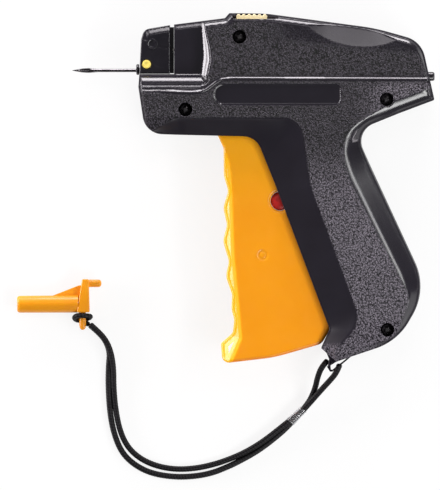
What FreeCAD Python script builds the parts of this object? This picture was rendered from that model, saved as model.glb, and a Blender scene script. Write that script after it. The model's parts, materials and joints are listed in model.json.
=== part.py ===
import FreeCAD, Part
import math
import os

# Hand-held garment tag attacher, lying on its side, in millimetres.
# +X runs to the rear (the needle points to -X), +Y to the top, +Z out of the left side.
# The pieces are drawn about the parting plane z = 0, and lifted by half_width at the end,
# so that the right side rests on z = 0.

V = FreeCAD.Vector

# ---- driving sizes: body -------------------------------------------------------------
half_width = 14.5        # parting plane to the flat of each side
edge_height = 9.4        # parting plane to where the side starts to slope inwards
wall = 2.0               # shell wall
upper_step = 0.5         # how far the upper side lies below the lower side
nose_half_width = 7.5    # parting plane to the side of the slim head
seam = 0.02              # gap between the two shells at the parting plane
running = 0.05           # radial clearance of a shaft in its bore
fixed = 0.02             # clearance of pieces that are pressed or clamped together
loose = 0.4              # side clearance of a part that swings between the shells

# ---- driving sizes: trigger and linkage ----------------------------------------------
trigger_half = 7.0       # half the trigger's width
trigger_wall = 2.0       # its side plates
trigger_front = 3.0      # its front wall
trigger_turn = 16.0      # degrees, from rest to fully squeezed
lever_turn = 36.6        # degrees that the drive lever turns meanwhile
trigger_axis = (-5.6, 28.3)
lever_axis = (33.1, -1.5)
link_front = (3.9, -26.3)    # link pin in the trigger
fork_radius = 49.5           # lever axis to the carriage pin at rest
fork_lean = 18.25            # degrees, lean of the lever at rest
lower_arm = 22.3             # lever axis to the lever's link pin
lower_lean = 9.0             # degrees, lean of the lower arm at rest
link_length = 25.34
link_angle = 6.2             # degrees above level, at rest
link_slack = 0.75            # radial play of the link on the lever's pin
lever_thickness = 4.0
link_thickness = 1.5
pivot_radius = 2.0           # trigger and lever pivots
link_pin_radius = 2.0
lever_pin_radius = 1.5
carriage_pin_radius = 1.6
fork_play = 0.4
buffer_centre = (11.2, -3.6)
buffer_radius = 4.0

# ---- driving sizes: needle, rod and feed ---------------------------------------------
barrel_height = 51.2         # Y of the needle and push rod
needle_radius = 0.7
needle_bore = 0.46
rod_tip_radius = 0.38
rod_radius = 1.0
needle_tip_x = -76.15
needle_end_x = -38.0
nose_rear_x = -35.0          # front side of the fastener slot
slot_width = 1.7
rod_tip_x = -32.5
rod_step_x = 3.7             # where the rod gets thicker
wheel_axis = (-28.9, barrel_height + 8.6)
wheel_radius = 5.0
wheel_teeth = 12
wheel_pin_radius = 1.0
wheel_thickness = 4.0

# ---- driving sizes: buttons, screws and stop -----------------------------------------
button_centre = (-44.8, barrel_height + 2.6)
button_radius = 1.8
button_travel = 0.9
slider_length = 13.0
slider_half = 5.0
slider_front_x = -7.2
ribs_count = 6
rib_width = 1.2
slider_top_y = 74.9
slider_travel = 4.2
screw_places = [(-28.5, 34.8), (-5.8, 65.3), (56.0, 39.0), (56.3, -57.7)]
screw_recess_radius = 2.8
screw_seat = 9.3             # parting plane to the floor of a screw recess
screw_radius = 1.3
screw_head_radius = 2.5
screw_head_height = 1.7
screw_depth = 9.0
post_radius = 3.0
stop_centre = (74.0, 48.7)
stop_radius = 1.9
stop_end_x = 76.15

# ---- driving sizes: cord, sleeve and cap ---------------------------------------------
cord_diameter = 2.1
sleeve_radius = 2.65
sleeve_wall = 0.25
cap_radius = 3.65
cap_bore = 2.1
cap_axis_y = -47.0
cap_tip_x = -99.2
cap_length = 25.6
cap_tip_length = 1.6
sleeve_ends = ((21.0, -91.0), (15.9, -96.9))
tail_radius = 1.45
hitch_radius = 3.6
hitch_place = (-71.9, -52.4)

# Outline of the body seen from the left, anticlockwise. Each row is one corner:
# the silhouette's x, y and corner radius, the same for the edge of the flat side,
# and how much of the way to the flat the silhouette has gone at edge_height.
lip_x = nose_rear_x + slot_width
nose_floor = barrel_height - 1.5
side_rows = [
    (-47.9, nose_floor, 0.0, -46.5, nose_floor, 0.0, 0.0),
    (-48.3, nose_floor - 5.4, 0.0, -46.8, nose_floor - 5.9, 0.0, 0.0),
    (-45.4, 24.7, 8.4, -44.3, 26.0, 7.1, 0.0),
    (-37.9, 24.4, 0.0, -39.2, 25.8, 0.0, 0.0),
    (-32.5, 24.2, 0.0, -33.7, 31.4, 0.0, 0.0),
    (1.1, 23.4, 8.0, 19.6, 31.0, 8.4, 0.0),
    (9.5, 2.5, 0.0, 23.6, 2.7, 0.0, 0.0),
    (34.0, -57.8, 2.5, 44.8, -54.4, 5.9, 0.0),
    (29.1, -65.9, 0.6, 33.9, -67.0, 1.7, 0.0),
    (31.8, -70.0, 0.0, 32.6, -69.6, 0.0, 0.0),
    (31.2, -73.3, 0.0, 32.4, -71.7, 0.0, 0.0),
    (34.9, -71.1, 0.0, 35.2, -70.0, 0.0, 0.0),
    (60.6, -62.5, 25.2, 59.9, -60.7, 9.2, 0.15),
    (73.2, -40.6, 24.0, 65.8, -43.9, 6.7, 0.15),
    (49.4, 10.7, 0.0, 38.7, 8.1, 0.0, 0.15),
    (42.7, 25.7, 8.0, 37.7, 25.6, 6.3, 0.15),
    (61.2, 33.2, 0.0, 59.9, 38.2, 0.0, 0.0),
    (76.1, 38.8, 0.8, 74.4, 41.7, 0.8, 0.0),
    (70.6, 63.5, 10.9, 68.8, 61.5, 10.1, 0.0),
    (51.1, 69.0, 84.0, 50.7, 66.9, 84.0, 0.0),
    (5.3, 75.1, 63.0, 5.3, 73.2, 63.0, 0.0),
    (-10.1, 75.3, 0.6, -8.5, 73.3, 0.8, 0.0),
    (-11.9, 73.2, 0.8, -10.6, 71.6, 0.8, 0.0),
    (lip_x, 70.5, 0.0, lip_x + 1.4, 69.0, 0.0, 0.0),
    (lip_x, nose_floor, 0.0, lip_x + 1.4, nose_floor, 0.0, 0.0),
]
trigger_outline = [
    (-1.1, 33.0, 4.0), (-10.0, 33.0, 4.0), (-15.2, 24.4, 1.0), (-12.5, 18.6, 4.0),
    (-12.4, 7.0, 9.0), (-10.5, 0.6, 5.0), (-12.7, -6.6, 7.0), (-11.0, -13.7, 5.0),
    (-12.8, -20.4, 7.0), (-10.2, -29.1, 5.0), (-11.6, -35.2, 7.0), (-8.9, -42.9, 5.0),
    (-9.2, -49.0, 7.0), (-8.0, -53.4, 6.0), (-8.6, -59.0, 3.0), (-13.6, -63.4, 0.8),
    (-13.0, -71.9, 3.0), (9.0, -69.3, 60.0), (28.7, -63.6, 3.0), (33.3, -55.6, 2.5),
    (32.5, -49.5, 1.5), (4.4, 19.5, 8.0),
]
nose_outline = [
    (nose_rear_x, nose_floor + 0.1, 0.0), (nose_rear_x, 70.3, 0.0), (-42.1, 69.1, 0.0),
    (-45.9, 68.4, 3.4), (-47.2, 64.0, 2.5), (-47.9, nose_floor + 0.1, 0.0),
]


# Routes of the cord's two strands over the table, from the heel to the cap.
strand_a = [
    (31.4, -70.4, 14.5), (28.9, -72.9, 13.9), (27.0, -77.4, 10.6), (26.0, -82.4, 5.7),
    (23.4, -88.2, 2.1), (18.6, -93.8, 1.6), (13.3, -100.2, 1.3), (6.8, -106.2, 1.1),
    (-0.5, -110.9, 1.1), (-9.1, -114.8, 1.1), (-17.8, -118.1, 1.1), (-26.6, -119.5, 1.1),
    (-35.2, -119.4, 1.1), (-43.8, -117.7, 1.1), (-50.4, -114.2, 1.1), (-55.4, -109.3, 1.1),
    (-58.7, -101.5, 1.1), (-60.4, -92.7, 1.1), (-61.1, -81.9, 1.1), (-60.9, -73.2, 1.1),
    (-60.2, -67.3, 1.1), (-61.9, -62.4, 1.1), (-65.1, -58.6, 1.6), (-68.9, -55.5, 2.4),
]
strand_b = [
    (36.4, -72.0, 17.1), (35.0, -75.7, 16.4), (32.0, -79.2, 12.7), (28.4, -83.4, 8.0),
    (24.0, -88.4, 4.3), (20.0, -92.7, 3.8), (15.7, -97.0, 3.7), (11.2, -99.7, 2.8),
    (5.2, -103.5, 1.2), (-1.4, -107.7, 1.1), (-8.7, -111.3, 1.1), (-16.2, -113.9, 1.1),
    (-24.0, -115.6, 1.1), (-32.3, -116.1, 1.1), (-40.2, -114.8, 1.1), (-47.1, -111.7, 1.1),
    (-52.5, -106.9, 1.1), (-55.8, -100.0, 1.1), (-57.6, -91.0, 1.1), (-58.4, -81.9, 1.1),
    (-58.4, -74.0, 1.9), (-59.6, -67.4, 3.4), (-61.7, -62.4, 3.6), (-65.0, -58.5, 3.9),
    (-68.7, -55.3, 4.6),
]


# ---- drawing helpers -----------------------------------------------------------------
def turned(point, centre, degrees):
    """point, turned about centre."""
    a = math.radians(degrees)
    dx, dy = point[0] - centre[0], point[1] - centre[1]
    return (centre[0] + dx * math.cos(a) - dy * math.sin(a),
            centre[1] + dx * math.sin(a) + dy * math.cos(a))


def toward(centre, distance, degrees):
    """The point at that distance from centre, at an angle from +Y towards +X."""
    a = math.radians(degrees)
    return (centre[0] + distance * math.sin(a), centre[1] + distance * math.cos(a))


def corners(rows):
    """For each corner: its place, the directions in and out, and its rounding's reach."""
    points = [V(r[0], r[1], 0) for r in rows]
    n = len(points)
    found, reach = [], []
    for i in range(n):
        before = (points[i] - points[i - 1]).normalize()
        after = (points[(i + 1) % n] - points[i]).normalize()
        turn = before.getAngle(after)
        found.append((points[i], before, after))
        reach.append(rows[i][2] * math.tan(turn / 2) if turn > 1e-3 else 0.0)
    for i in range(n):
        j = (i + 1) % n
        room = 0.98 * points[i].distanceToPoint(points[j])
        if reach[i] + reach[j] > room:
            share = room / (reach[i] + reach[j])
            reach[i], reach[j] = reach[i] * share, reach[j] * share
    return found, reach


def outline(rows, z=0.0):
    """A closed wire through the rows' corners, each rounded by its radius."""
    found, reach = corners(rows)
    up = V(0, 0, z)
    n = len(found)
    edges = []
    for i in range(n):
        point, before, after = found[i]
        start, end = point - before * reach[i], point + after * reach[i]
        if reach[i] > 1e-6:
            turn = before.getAngle(after)
            radius = reach[i] / math.tan(turn / 2)
            middle = (after - before).normalize()
            nearest = point + middle * radius * (1 / math.cos(turn / 2) - 1)
            edges.append(Part.Arc(start + up, nearest + up, end + up).toShape())
        j = (i + 1) % n
        following = found[j][0] - found[j][1] * reach[j]
        edges.append(Part.LineSegment(end + up, following + up).toShape())
    return Part.Wire(edges)


def inset(rows, distance):
    """The outline moved inwards, with rounded corners still concentric."""
    found, _ = corners(rows)
    moved = []
    for row, (point, before, after) in zip(rows, found):
        n1, n2 = V(-before.y, before.x, 0), V(-after.y, after.x, 0)
        place = point + (n1 + n2) * (distance / (1 + n1.dot(n2)))
        bend = before.cross(after).z
        radius = row[2] - distance if bend > 0 else row[2] + distance
        moved.append((place.x, place.y, max(radius, 0.2) if row[2] > 0 else 0.0))
    return moved


def prism(rows, low, high):
    """The outline's area between two heights."""
    rows = [r if len(r) == 3 else (r[0], r[1], 0.0) for r in rows]
    return Part.Face(outline(rows, low)).extrude(V(0, 0, high - low))


def stack(levels):
    """A solid through outlines at rising heights: [(rows, z), ...]."""
    return Part.makeLoft([outline(rows, z) for rows, z in levels], True, True)


def box(x, y, z):
    """A box between two values on each axis."""
    return Part.makeBox(x[1] - x[0], y[1] - y[0], z[1] - z[0], V(x[0], y[0], z[0]))


def post(centre, radius, low, high):
    """A round post along Z."""
    return Part.makeCylinder(radius, high - low, V(centre[0], centre[1], low))


def rod_x(y, z, radius, low, high):
    """A round rod along X."""
    return Part.makeCylinder(radius, high - low, V(low, y, z), V(1, 0, 0))


def joined(shapes):
    """One solid from several that overlap."""
    whole = shapes[0].multiFuse(shapes[1:]) if len(shapes) > 1 else shapes[0]
    return whole.removeSplitter()


def without(shape, tools):
    """The shape with the tools cut from it."""
    return shape.cut(tools)


def mirrored(shape):
    """The shape on the other side of the parting plane."""
    return shape.mirror(V(0, 0, 0), V(0, 0, 1))


# ---- shells --------------------------------------------------------------------------
def silhouette():
    return [r[:3] for r in side_rows]


def flat_edge():
    return [r[3:6] for r in side_rows]


def belly():
    """The outline at edge_height, partly on its way to the flat."""
    rows = []
    for r in side_rows:
        share = r[6]
        rows.append((r[0] + share * (r[3] - r[0]), r[1] + share * (r[4] - r[1]), r[2]))
    return rows


def head_scoop(grow):
    """What is cut beside the slim head, grown by a wall for the hollow inside it."""
    low = nose_floor - 0.2
    floor = [(-60, low, 0), (-22.0, low, 2.5), (-22.0, 95, 0), (-60, 95, 0)]
    low = nose_floor - 6.1
    mouth = [(-60, low, 0), (-18.4, low, 6.0), (-18.4, 95, 0), (-60, 95, 0)]
    top = half_width + 0.01
    return stack([(inset(floor, -grow), nose_half_width - grow),
                  (inset(mouth, -grow), top)])


def trigger_mouth():
    """The space that the trigger swings through, out of the shells' front."""
    rows = [(-16.9, 18.0), (0.0, 18.0), (8.0, 0.0), (27.0, -68.0), (31.0, -68.0),
            (38.5, -60.0), (38.5, -50.0), (6.0, 31.0), (-16.9, 31.0)]
    front = [(-30.0, 18.0), (-30.0, -68.0), (27.0, -68.0), (8.0, 0.0), (0.0, 18.0)]
    half = trigger_half + loose
    return [prism(rows, -half, half), prism(front, -half, half)]


def without_lug(rows):
    """The outline without the two corners that only the heel's lug has."""
    return [r for i, r in enumerate(rows) if i not in (9, 10)]


def shell_inside(distance, low):
    """The space inside one half, at a distance from its outside."""
    levels = [(silhouette(), low), (belly(), edge_height - distance),
              (flat_edge(), half_width - distance)]
    return stack([(inset(without_lug(rows), distance), z) for rows, z in levels])


def upper_area():
    """The side above the long ridge, which lies a step lower."""
    rows = [(-17.8, 44.9, 0), (-14.2, 47.6, 3.0), (-11.0, 48.4, 3.0), (80, 48.7, 0),
            (80, 90, 0), (-21, 90, 0), (-21, 44.9, 0)]
    return prism(rows, half_width - upper_step, half_width + 1)


def crescent():
    """The shallow conical facet at the top rear of the side."""
    radius, fall, depth = 35.5, 0.2, 6.0
    low = half_width - upper_step - depth
    return Part.makeCone(radius - depth / fall, radius + 2 / fall, depth + 2,
                         V(46.3, 96.5, low))


def heel_eye():
    """The thin bar at the heel that the cord goes round."""
    outer = [(41.5, -68.6), (36.8, -72.6), (33.2, -75.3), (32.2, -75.3), (30.9, -73.2),
             (33.0, -70.5), (41.0, -67.0)]
    slot = [(39.9, -69.75), (36.5, -71.75), (33.2, -74.5), (32.6, -74.4), (32.4, -72.7),
            (34.9, -71.15), (39.0, -69.75)]
    return prism(outer, 0, 1.2), prism(slot, -1, 2.5)


def bearing(centre, radius, bore, inner, depth):
    """A boss from the side wall with a blind bore: what to add and what to cut."""
    boss = post(centre, radius, inner, half_width - wall / 2)
    hole = post(centre, bore, -1.0, depth)
    return boss, hole


def shell_half(spring_side):
    """One shell, drawn on the left. The lever's boss is shorter on the spring's side."""
    body = stack([(silhouette(), 0.0), (belly(), edge_height), (flat_edge(), half_width)])
    hollow = without(shell_inside(wall, -1.0), [head_scoop(wall)])
    solid = without(body, [hollow])
    inner_area = shell_inside(wall / 2, 0.0)
    lever_inner = spring_top + loose if spring_side else lever_thickness / 2 + loose
    bosses, holes = [], []
    for centre, radius, bore, inner, depth in [
        (trigger_axis, 3.6, pivot_radius + running, trigger_half + loose, pivot_end),
        (lever_axis, 3.6, pivot_radius + running, lever_inner, pivot_end),
        (wheel_axis, 2.2, wheel_pin_radius + running, wheel_thickness / 2 + loose,
         wheel_pin_end),
    ]:
        boss, hole = bearing(centre, radius, bore, inner, depth)
        bosses.append(boss)
        holes.append(hole)
    for place in screw_places:
        bosses.append(post(place, post_radius, 0.0, half_width - wall / 2))
        bosses.append(post(place, screw_recess_radius + wall, screw_seat - wall,
                           half_width - wall / 2))
    bosses += carriage_rails() + slider_ledges()
    bosses.append(post(stop_post_centre, 2.0, 3.0, half_width - wall / 2))
    bosses.append(prism([(31.6, -72.5), (36.0, -70.7), (39.0, -66.0), (33.0, -66.0),
                         (31.9, -69.5)], 0.0, 4.0))
    head_inside = box((-60, -22.0), (nose_floor - 0.7, 95.0),
                      (nose_half_width - wall / 2, 30.0))
    inside = joined(bosses).common(inner_area).cut(head_inside)
    eye, eye_slot = heel_eye()
    solid = joined([solid, inside, eye])
    tools = holes + trigger_mouth() + [
        head_scoop(0.0), upper_area(), crescent(), eye_slot, cord_tunnel(),
        box((lip_x - 1.0, lip_x + wall + 0.5), wheel_window,
            (-1.0, wheel_thickness / 2 + loose)),
        wheel_room(),
        rod_x(barrel_height, 0.0, rod_tip_radius + running, lip_x - 1.0,
              lip_x + wall + 1.0),
        box((slider_front_x - 1.7, slider_front_x + slider_length + slider_travel + 0.2),
            (72.0, 80.0), (-1.0, slider_half + 0.3)),
        rod_x(stop_centre[1], 0.0, stop_radius + fixed, 68.0, 80.0),
    ]
    return without(solid, tools)


def wheel_room():
    """The room that the feed wheel turns in, behind the front wall's window."""
    side = wheel_thickness / 2 + loose
    behind = box((lip_x + wall + 0.5, 0.0), (wheel_axis[1] - 20.0, wheel_axis[1] + 20.0),
                 (-1.0, side))
    return post(wheel_axis, wheel_radius + loose, -1.0, side).common(behind)


def carriage_rails():
    """Two ledges on each side that the carriage's flange slides between."""
    rails = []
    for low, high in [(rail_low - 1.2, rail_low), (rail_high, rail_high + 1.2)]:
        rails.append(box((5.0, 60.0), (low, high), (carriage_half + 0.3, half_width)))
    return rails


def slider_ledges():
    """Ledges under the top wall that carry the ends of the slider's leaf spring."""
    ledges = []
    for low in (leaf_x[0], leaf_x[1] - 2.0):
        ledges.append(box((low, low + 2.0), (leaf_y[0] - 1.0, leaf_y[0] - fixed),
                          (1.5, half_width)))
    return ledges


def cord_tunnel():
    """The hole through the heel, in the parting plane, that the cord is threaded in."""
    start = V(30.0, -69.9, 0)
    way = V(4.6, -1.4, 0)
    return Part.makeCylinder(cord_diameter / 2 + 0.3, way.Length, start, way)


def left_shell():
    """The left shell has the screw recesses and the bare name panel."""
    panel = prism([(-16.3, 45.1, 3.9), (-16.3, 37.1, 3.9), (36.4, 37.1, 2.1),
                   (36.4, 45.1, 2.1)], half_width - 0.5, half_width + 1)
    tools = [panel]
    for place in screw_places:
        tools.append(post(place, screw_recess_radius, screw_seat, half_width + 1))
        tools.append(post(place, screw_radius + 0.25, -1.0, half_width))
    cover = box((-90, 90), (-90, 90), (seam / 2, 30))
    return without(shell_half(True), tools).common(cover)


def right_shell():
    """The right shell takes the screws' threads."""
    tools = []
    for place in screw_places:
        tools.append(post(place, screw_radius + fixed, -1.0, screw_depth))
    cover = box((-90, 90), (-90, 90), (seam / 2, 30))
    return mirrored(without(shell_half(False), tools).common(cover))


def shell_screws():
    """Four countersunk-recess screws with cross heads."""
    screws = []
    low = screw_seat + fixed
    for place in screw_places:
        shank = post(place, screw_radius, 0.5 - screw_depth, low + 0.5)
        head = post(place, screw_head_radius, low, low + screw_head_height)
        top = low + screw_head_height
        cross = [box((place[0] - a, place[0] + a), (place[1] - b, place[1] + b),
                     (top - 0.8, top + 1)) for a, b in ((1.5, 0.35), (0.35, 1.5))]
        screws.append(without(joined([shank, head]), cross))
    return Part.makeCompound(screws)


# ---- head ----------------------------------------------------------------------------
def nose_block():
    """The slim head in front of the fastener slot."""
    side = inset(nose_outline, 0.6)
    body = stack([(side, -nose_half_width), (nose_outline, -nose_half_width + 0.8),
                  (nose_outline, nose_half_width - 0.8), (side, nose_half_width)])
    groove_top = base_top + 0.2
    under = nose_floor - 1
    tools = [
        box((-50, -30), (under, groove_top), (-base_half - 0.2, base_half + 0.2)),
        box((-50, lug_x[1] + 0.3), (under, lug_top + 0.3),
            (-base_half - 0.2, base_half + 0.2)),
        post(button_centre, button_radius + running, spring_floor, nose_half_width + 1),
        post(button_centre, foot_radius + running, -3.2, nose_half_width),
        box((blade_x[0] - fixed, nose_rear_x + 1), (under, blade_top + 0.05),
            (-blade_half - 0.05, blade_half + 0.05)),
    ]
    boss = post((-42.6, 62.4), 2.4, nose_half_width - 1.0, nose_half_width + 0.25)
    return without(joined([body, boss]), tools)


def needle():
    """Hollow needle with a bulged, scooped tip."""
    y = barrel_height
    profile = [V(needle_tip_x, 0, 0), V(needle_tip_x, 0.12, 0),
               V(needle_tip_x + 4.2, 0.85, 0), V(needle_tip_x + 7.6, 1.05, 0),
               V(needle_tip_x + 10.6, needle_radius, 0), V(needle_end_x, needle_radius, 0),
               V(needle_end_x, 0, 0), V(needle_tip_x, 0, 0)]
    body = Part.Face(Part.makePolygon(profile)).revolve(V(0, 0, 0), V(1, 0, 0), 360)
    bore = rod_x(0, 0, needle_bore, needle_tip_x + 3.0, needle_end_x + 1)
    slot = box((needle_tip_x + 3.0, needle_end_x + 1), (-0.2, 0.2), (0, 2))
    scoop = Part.makeCylinder(9.0, 4, V(needle_tip_x + 5.2, -2, 9.25), V(0, 1, 0))
    shaped = without(body, [bore, slot, scoop])
    shaped.translate(V(0, y, 0))
    return shaped


def needle_base():
    """The needle's plastic seat: a collar in front of a keyed stem."""
    y = barrel_height
    collar = rod_x(y + 0.4, 0, 2.3, -49.2, -47.95)
    stem = box((-48.1, needle_end_x), (y - 1.2, base_top), (-base_half, base_half))
    lug = box(lug_x, (y - 0.7, lug_top), (-base_half, base_half))
    hole = rod_x(y, 0, needle_radius + fixed, -60, -30)
    return without(joined([collar, stem, lug]), [hole])


def needle_lock_button():
    """Round button whose foot stands in front of the base's lug until it is pressed."""
    cap = post(button_centre, button_radius, button_low, nose_half_width + 0.4)
    cap = cap.makeChamfer(0.2, [e for e in cap.Edges
                                if abs(e.BoundBox.ZMin - nose_half_width - 0.4) < 1e-6])
    foot_top = button_travel - base_half
    stem = post(button_centre, stem_radius, 2.4, button_low + 0.2)
    waist = post(button_centre, waist_radius, foot_top - 0.2, 2.6)
    foot = post(button_centre, foot_radius, -base_half - 0.2, foot_top)
    return joined([cap, stem, waist, foot])


def lock_button_spring():
    """The closed coil under the lock button."""
    outer = post(button_centre, button_radius - 0.1, spring_floor + fixed,
                 button_low - fixed)
    return without(outer, [post(button_centre, stem_radius + 0.15, -5, 20)])


def cutter_blade():
    """Steel blade beside the slot, with a hole for the push rod."""
    plate = box(blade_x, (nose_floor + 0.2, blade_top), (-blade_half, blade_half))
    return without(plate, [rod_x(barrel_height, 0, rod_tip_radius + 0.2, -60, 0)])


def feed_wheel():
    """Toothed wheel whose teeth reach into the fastener slot."""
    rows = []
    for i in range(wheel_teeth):
        for part, radius in ((-0.22, wheel_radius), (0.08, wheel_radius),
                             (0.32, wheel_radius - 1.2), (0.62, wheel_radius - 1.2)):
            rows.append(toward(wheel_axis, radius, -(i + part) * 360 / wheel_teeth))
    half = wheel_thickness / 2
    wheel = prism(rows, -half, half)
    return without(wheel, [post(wheel_axis, wheel_pin_radius + running, -half - 1, half + 1)])


def feed_wheel_pin():
    end = wheel_pin_end - 0.1
    return post(wheel_axis, wheel_pin_radius, -end, end)


def index_spring():
    """Leaf that clicks into the feed wheel's teeth."""
    x = wheel_axis[0] + wheel_radius + 0.35
    leaf = box((x, x + 0.4), (wheel_axis[1] - 3.0, index_top), (-1.5, 1.5))
    foot = box((x, x + 2.2), (index_top - 0.4, index_top), (-1.5, 1.5))
    return joined([leaf, foot])


# ---- slide ---------------------------------------------------------------------------
def carriage():
    """The slide that carries the push rod, with two ears for its cross pin."""
    x, y = carriage_pin_place
    slot_top = y + 6.4
    top = max(slot_top + 4.1, barrel_height + 3.0)
    low = barrel_height - 2.3
    block = box((x - 10.0, x + 7.4), (low, top), (-carriage_half, carriage_half))
    flange = box((x - 10.0, x + 7.4), (rail_low + 0.2, rail_high - 0.2),
                 (-carriage_half - 2.2, carriage_half + 2.2))
    gap = lever_thickness / 2 + 0.4
    ears = [box((x - 3.2, x + 3.2), (y - 2.6, low + 0.5), (side, side + 2.2))
            for side in (gap, -gap - 2.2)]
    slot = box((x - 6.4, x + 7.5), (y - 5.5, slot_top), (-gap, gap))
    body = without(joined([block, flange] + ears), [slot])
    bore = rod_x(barrel_height, 0, rod_radius + fixed, x - 11, x - 6.3)
    pin_hole = post((x, y), carriage_pin_radius + fixed, -10, 10)
    return without(body, [bore, pin_hole])


def carriage_pin():
    half = lever_thickness / 2 + 0.4 + 2.2
    return post(carriage_pin_place, carriage_pin_radius, -half, half)


def push_rod():
    """Stepped steel rod, thin where it runs in the needle."""
    y = barrel_height
    thin = rod_x(y, 0, rod_tip_radius, rod_tip_x, rod_step_x + 1)
    thick = rod_x(y, 0, rod_radius, rod_step_x, carriage_pin_place[0] - 6.6)
    return joined([thin, thick])


# ---- trigger and linkage -------------------------------------------------------------
def trigger():
    """Hollow trigger with finger scallops, open at the rear."""
    round_off = 1.6
    side = inset(trigger_outline, round_off)
    body = stack([(side, -trigger_half), (trigger_outline, round_off - trigger_half),
                  (trigger_outline, trigger_half - round_off), (side, trigger_half)])
    front = inset(trigger_outline, trigger_front)
    lower = [r for r in front[3:18]]
    hollow = [(30.0, 15.0, 0), (-8.6, 15.0, 2.0)] + lower + [
        (26.8, -60.4, 2.0), (60.0, -50.0, 0)]
    half = trigger_half - trigger_wall
    tools = [
        prism(hollow, -half, half),
        post(trigger_axis, pivot_radius + running, -10, 10),
        post(link_front, link_pin_radius + fixed, -10, 10),
        post(buffer_centre, buffer_radius + fixed, -10, 10),
    ]
    return without(body, tools)


def trigger_buffer():
    """Soft red roll that ends the trigger's stroke against the stop posts."""
    end = trigger_half - 0.3
    return post(buffer_centre, buffer_radius, -end, end)


def trigger_pivot_pin():
    return post(trigger_axis, pivot_radius, 0.1 - pivot_end, pivot_end - 0.1)


def trigger_link_pin():
    return post(link_front, link_pin_radius, -trigger_half, trigger_half)


def drive_links():
    """Two plates from the trigger's pin to the lever's pin."""
    far = toward(link_front, link_length, 90 - link_angle)
    across = V(far[1] - link_front[1], link_front[0] - far[0], 0).normalize() * 2.6
    bar = [(link_front[0] + across.x, link_front[1] + across.y),
           (far[0] + across.x, far[1] + across.y),
           (far[0] - across.x, far[1] - across.y),
           (link_front[0] - across.x, link_front[1] - across.y)]
    low = lever_thickness / 2 + 0.3
    high = low + link_thickness
    plates = []
    for z in (low, -high):
        top = z + link_thickness
        plate = joined([prism(bar, z, top), post(link_front, 4.0, z, top),
                        post(far, 4.2, z, top)])
        plates.append(without(plate, [
            post(link_front, link_pin_radius + running, -10, 10),
            post(far, lever_pin_radius + link_slack, -10, 10)]))
    return Part.makeCompound(plates)


def drive_lever():
    """Long lever: fork at the top, hub in the middle, link pin at the bottom."""
    half = lever_thickness / 2
    reach = fork_radius
    arm = [(-4.6, 0, 0), (4.6, 0, 0), (0.8, 26.0, 30.0), (4.2, reach - 4.5, 3.0),
           (4.2, reach + 3.6, 1.0), (-4.2, reach + 3.6, 1.0), (-4.2, reach - 4.5, 3.0),
           (-6.2, 26.0, 30.0)]
    slot_half = carriage_pin_radius + fork_play
    fork_bottom = reach * math.cos(math.radians(lever_turn / 2)) - carriage_pin_radius - 0.8
    slot = [(-slot_half, fork_bottom, 1.0), (slot_half, fork_bottom, 1.0),
            (slot_half, reach + 9, 0), (-slot_half, reach + 9, 0)]
    place = FreeCAD.Placement(V(lever_axis[0], lever_axis[1], 0),
                              FreeCAD.Rotation(V(0, 0, 1), -fork_lean))
    upper = without(prism(arm, -half, half), [prism(slot, -half - 1, half + 1)])
    upper.Placement = place
    x, y = lever_axis
    low_x, low_y = lever_pin_place
    lower = prism([(x - 4.6, y), (low_x - 3.2, low_y), (low_x + 3.2, low_y), (x + 4.6, y)],
                  -half, half)
    body = joined([upper, lower, post(lever_axis, 5.0, -half, half),
                   post(lever_pin_place, 3.4, -half, half)])
    return without(body, [post(lever_axis, pivot_radius + running, -9, 9),
                          post(lever_pin_place, lever_pin_radius + fixed, -9, 9)])


def lever_pivot_pin():
    return post(lever_axis, pivot_radius, 0.1 - pivot_end, pivot_end - 0.1)


def lever_link_pin():
    half = lever_thickness / 2 + 0.3 + link_thickness + 0.5
    return post(lever_pin_place, lever_pin_radius, -half, half)


def return_spring():
    """Torsion spring on the lever's pivot: its coil and two legs beside the lever."""
    low = lever_thickness / 2 + 0.35
    coil = post(lever_axis, 4.2, low, spring_top)
    up = toward(lever_axis, 14.0, fork_lean)
    side = V(up[1] - lever_axis[1], lever_axis[0] - up[0], 0).normalize()
    x, y = lever_axis
    lever_leg = prism([(x + side.x * 3.4, y + side.y * 3.4),
                       (up[0] + side.x * 3.4, up[1] + side.y * 3.4),
                       (up[0] + side.x * 2.6, up[1] + side.y * 2.6),
                       (x + side.x * 2.6, y + side.y * 2.6)], low, low + 0.8)
    shell_leg = box((x, x + 13.5), (y - 3.8, y - 3.0), (spring_top - 0.8, spring_top))
    body = joined([coil, lever_leg, shell_leg])
    return without(body, [post(lever_axis, pivot_radius + 0.4, 0, 20)])


# ---- top slider and rear stop --------------------------------------------------------
def feed_release_slider():
    """Ribbed slider in the top, held by a flange under the wall."""
    x0, x1 = slider_front_x, slider_front_x + slider_length
    flange_top = 71.9
    plate = box((x0, x1), (flange_top - 0.4, slider_top_y - 0.5), (-slider_half, slider_half))
    flange = box((x0 - 1.8, x1 + 2.4), (flange_top - 1.0, flange_top),
                 (-slider_half - 1.6, slider_half + 1.6))
    pitch = (slider_length - 0.8 - rib_width) / (ribs_count - 1)
    ribs = [box((x0 + 0.4 + i * pitch, x0 + 0.4 + i * pitch + rib_width),
                (slider_top_y - 0.6, slider_top_y), (-slider_half, slider_half))
            for i in range(ribs_count)]
    return joined([plate, flange] + ribs)


def slider_detent_spring():
    """Leaf spring under the slider, resting on the shells' ledges."""
    return box(leaf_x, leaf_y, (-2.5, 2.5))


def rear_stop_plug():
    """Plug in the rear wall that ends the carriage's return."""
    nub = rod_x(stop_centre[1], 0, stop_radius, 69.0, stop_end_x)
    head = rod_x(stop_centre[1], 0, stop_radius + 0.9, 68.5, 70.9)
    return joined([nub, head])


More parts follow.
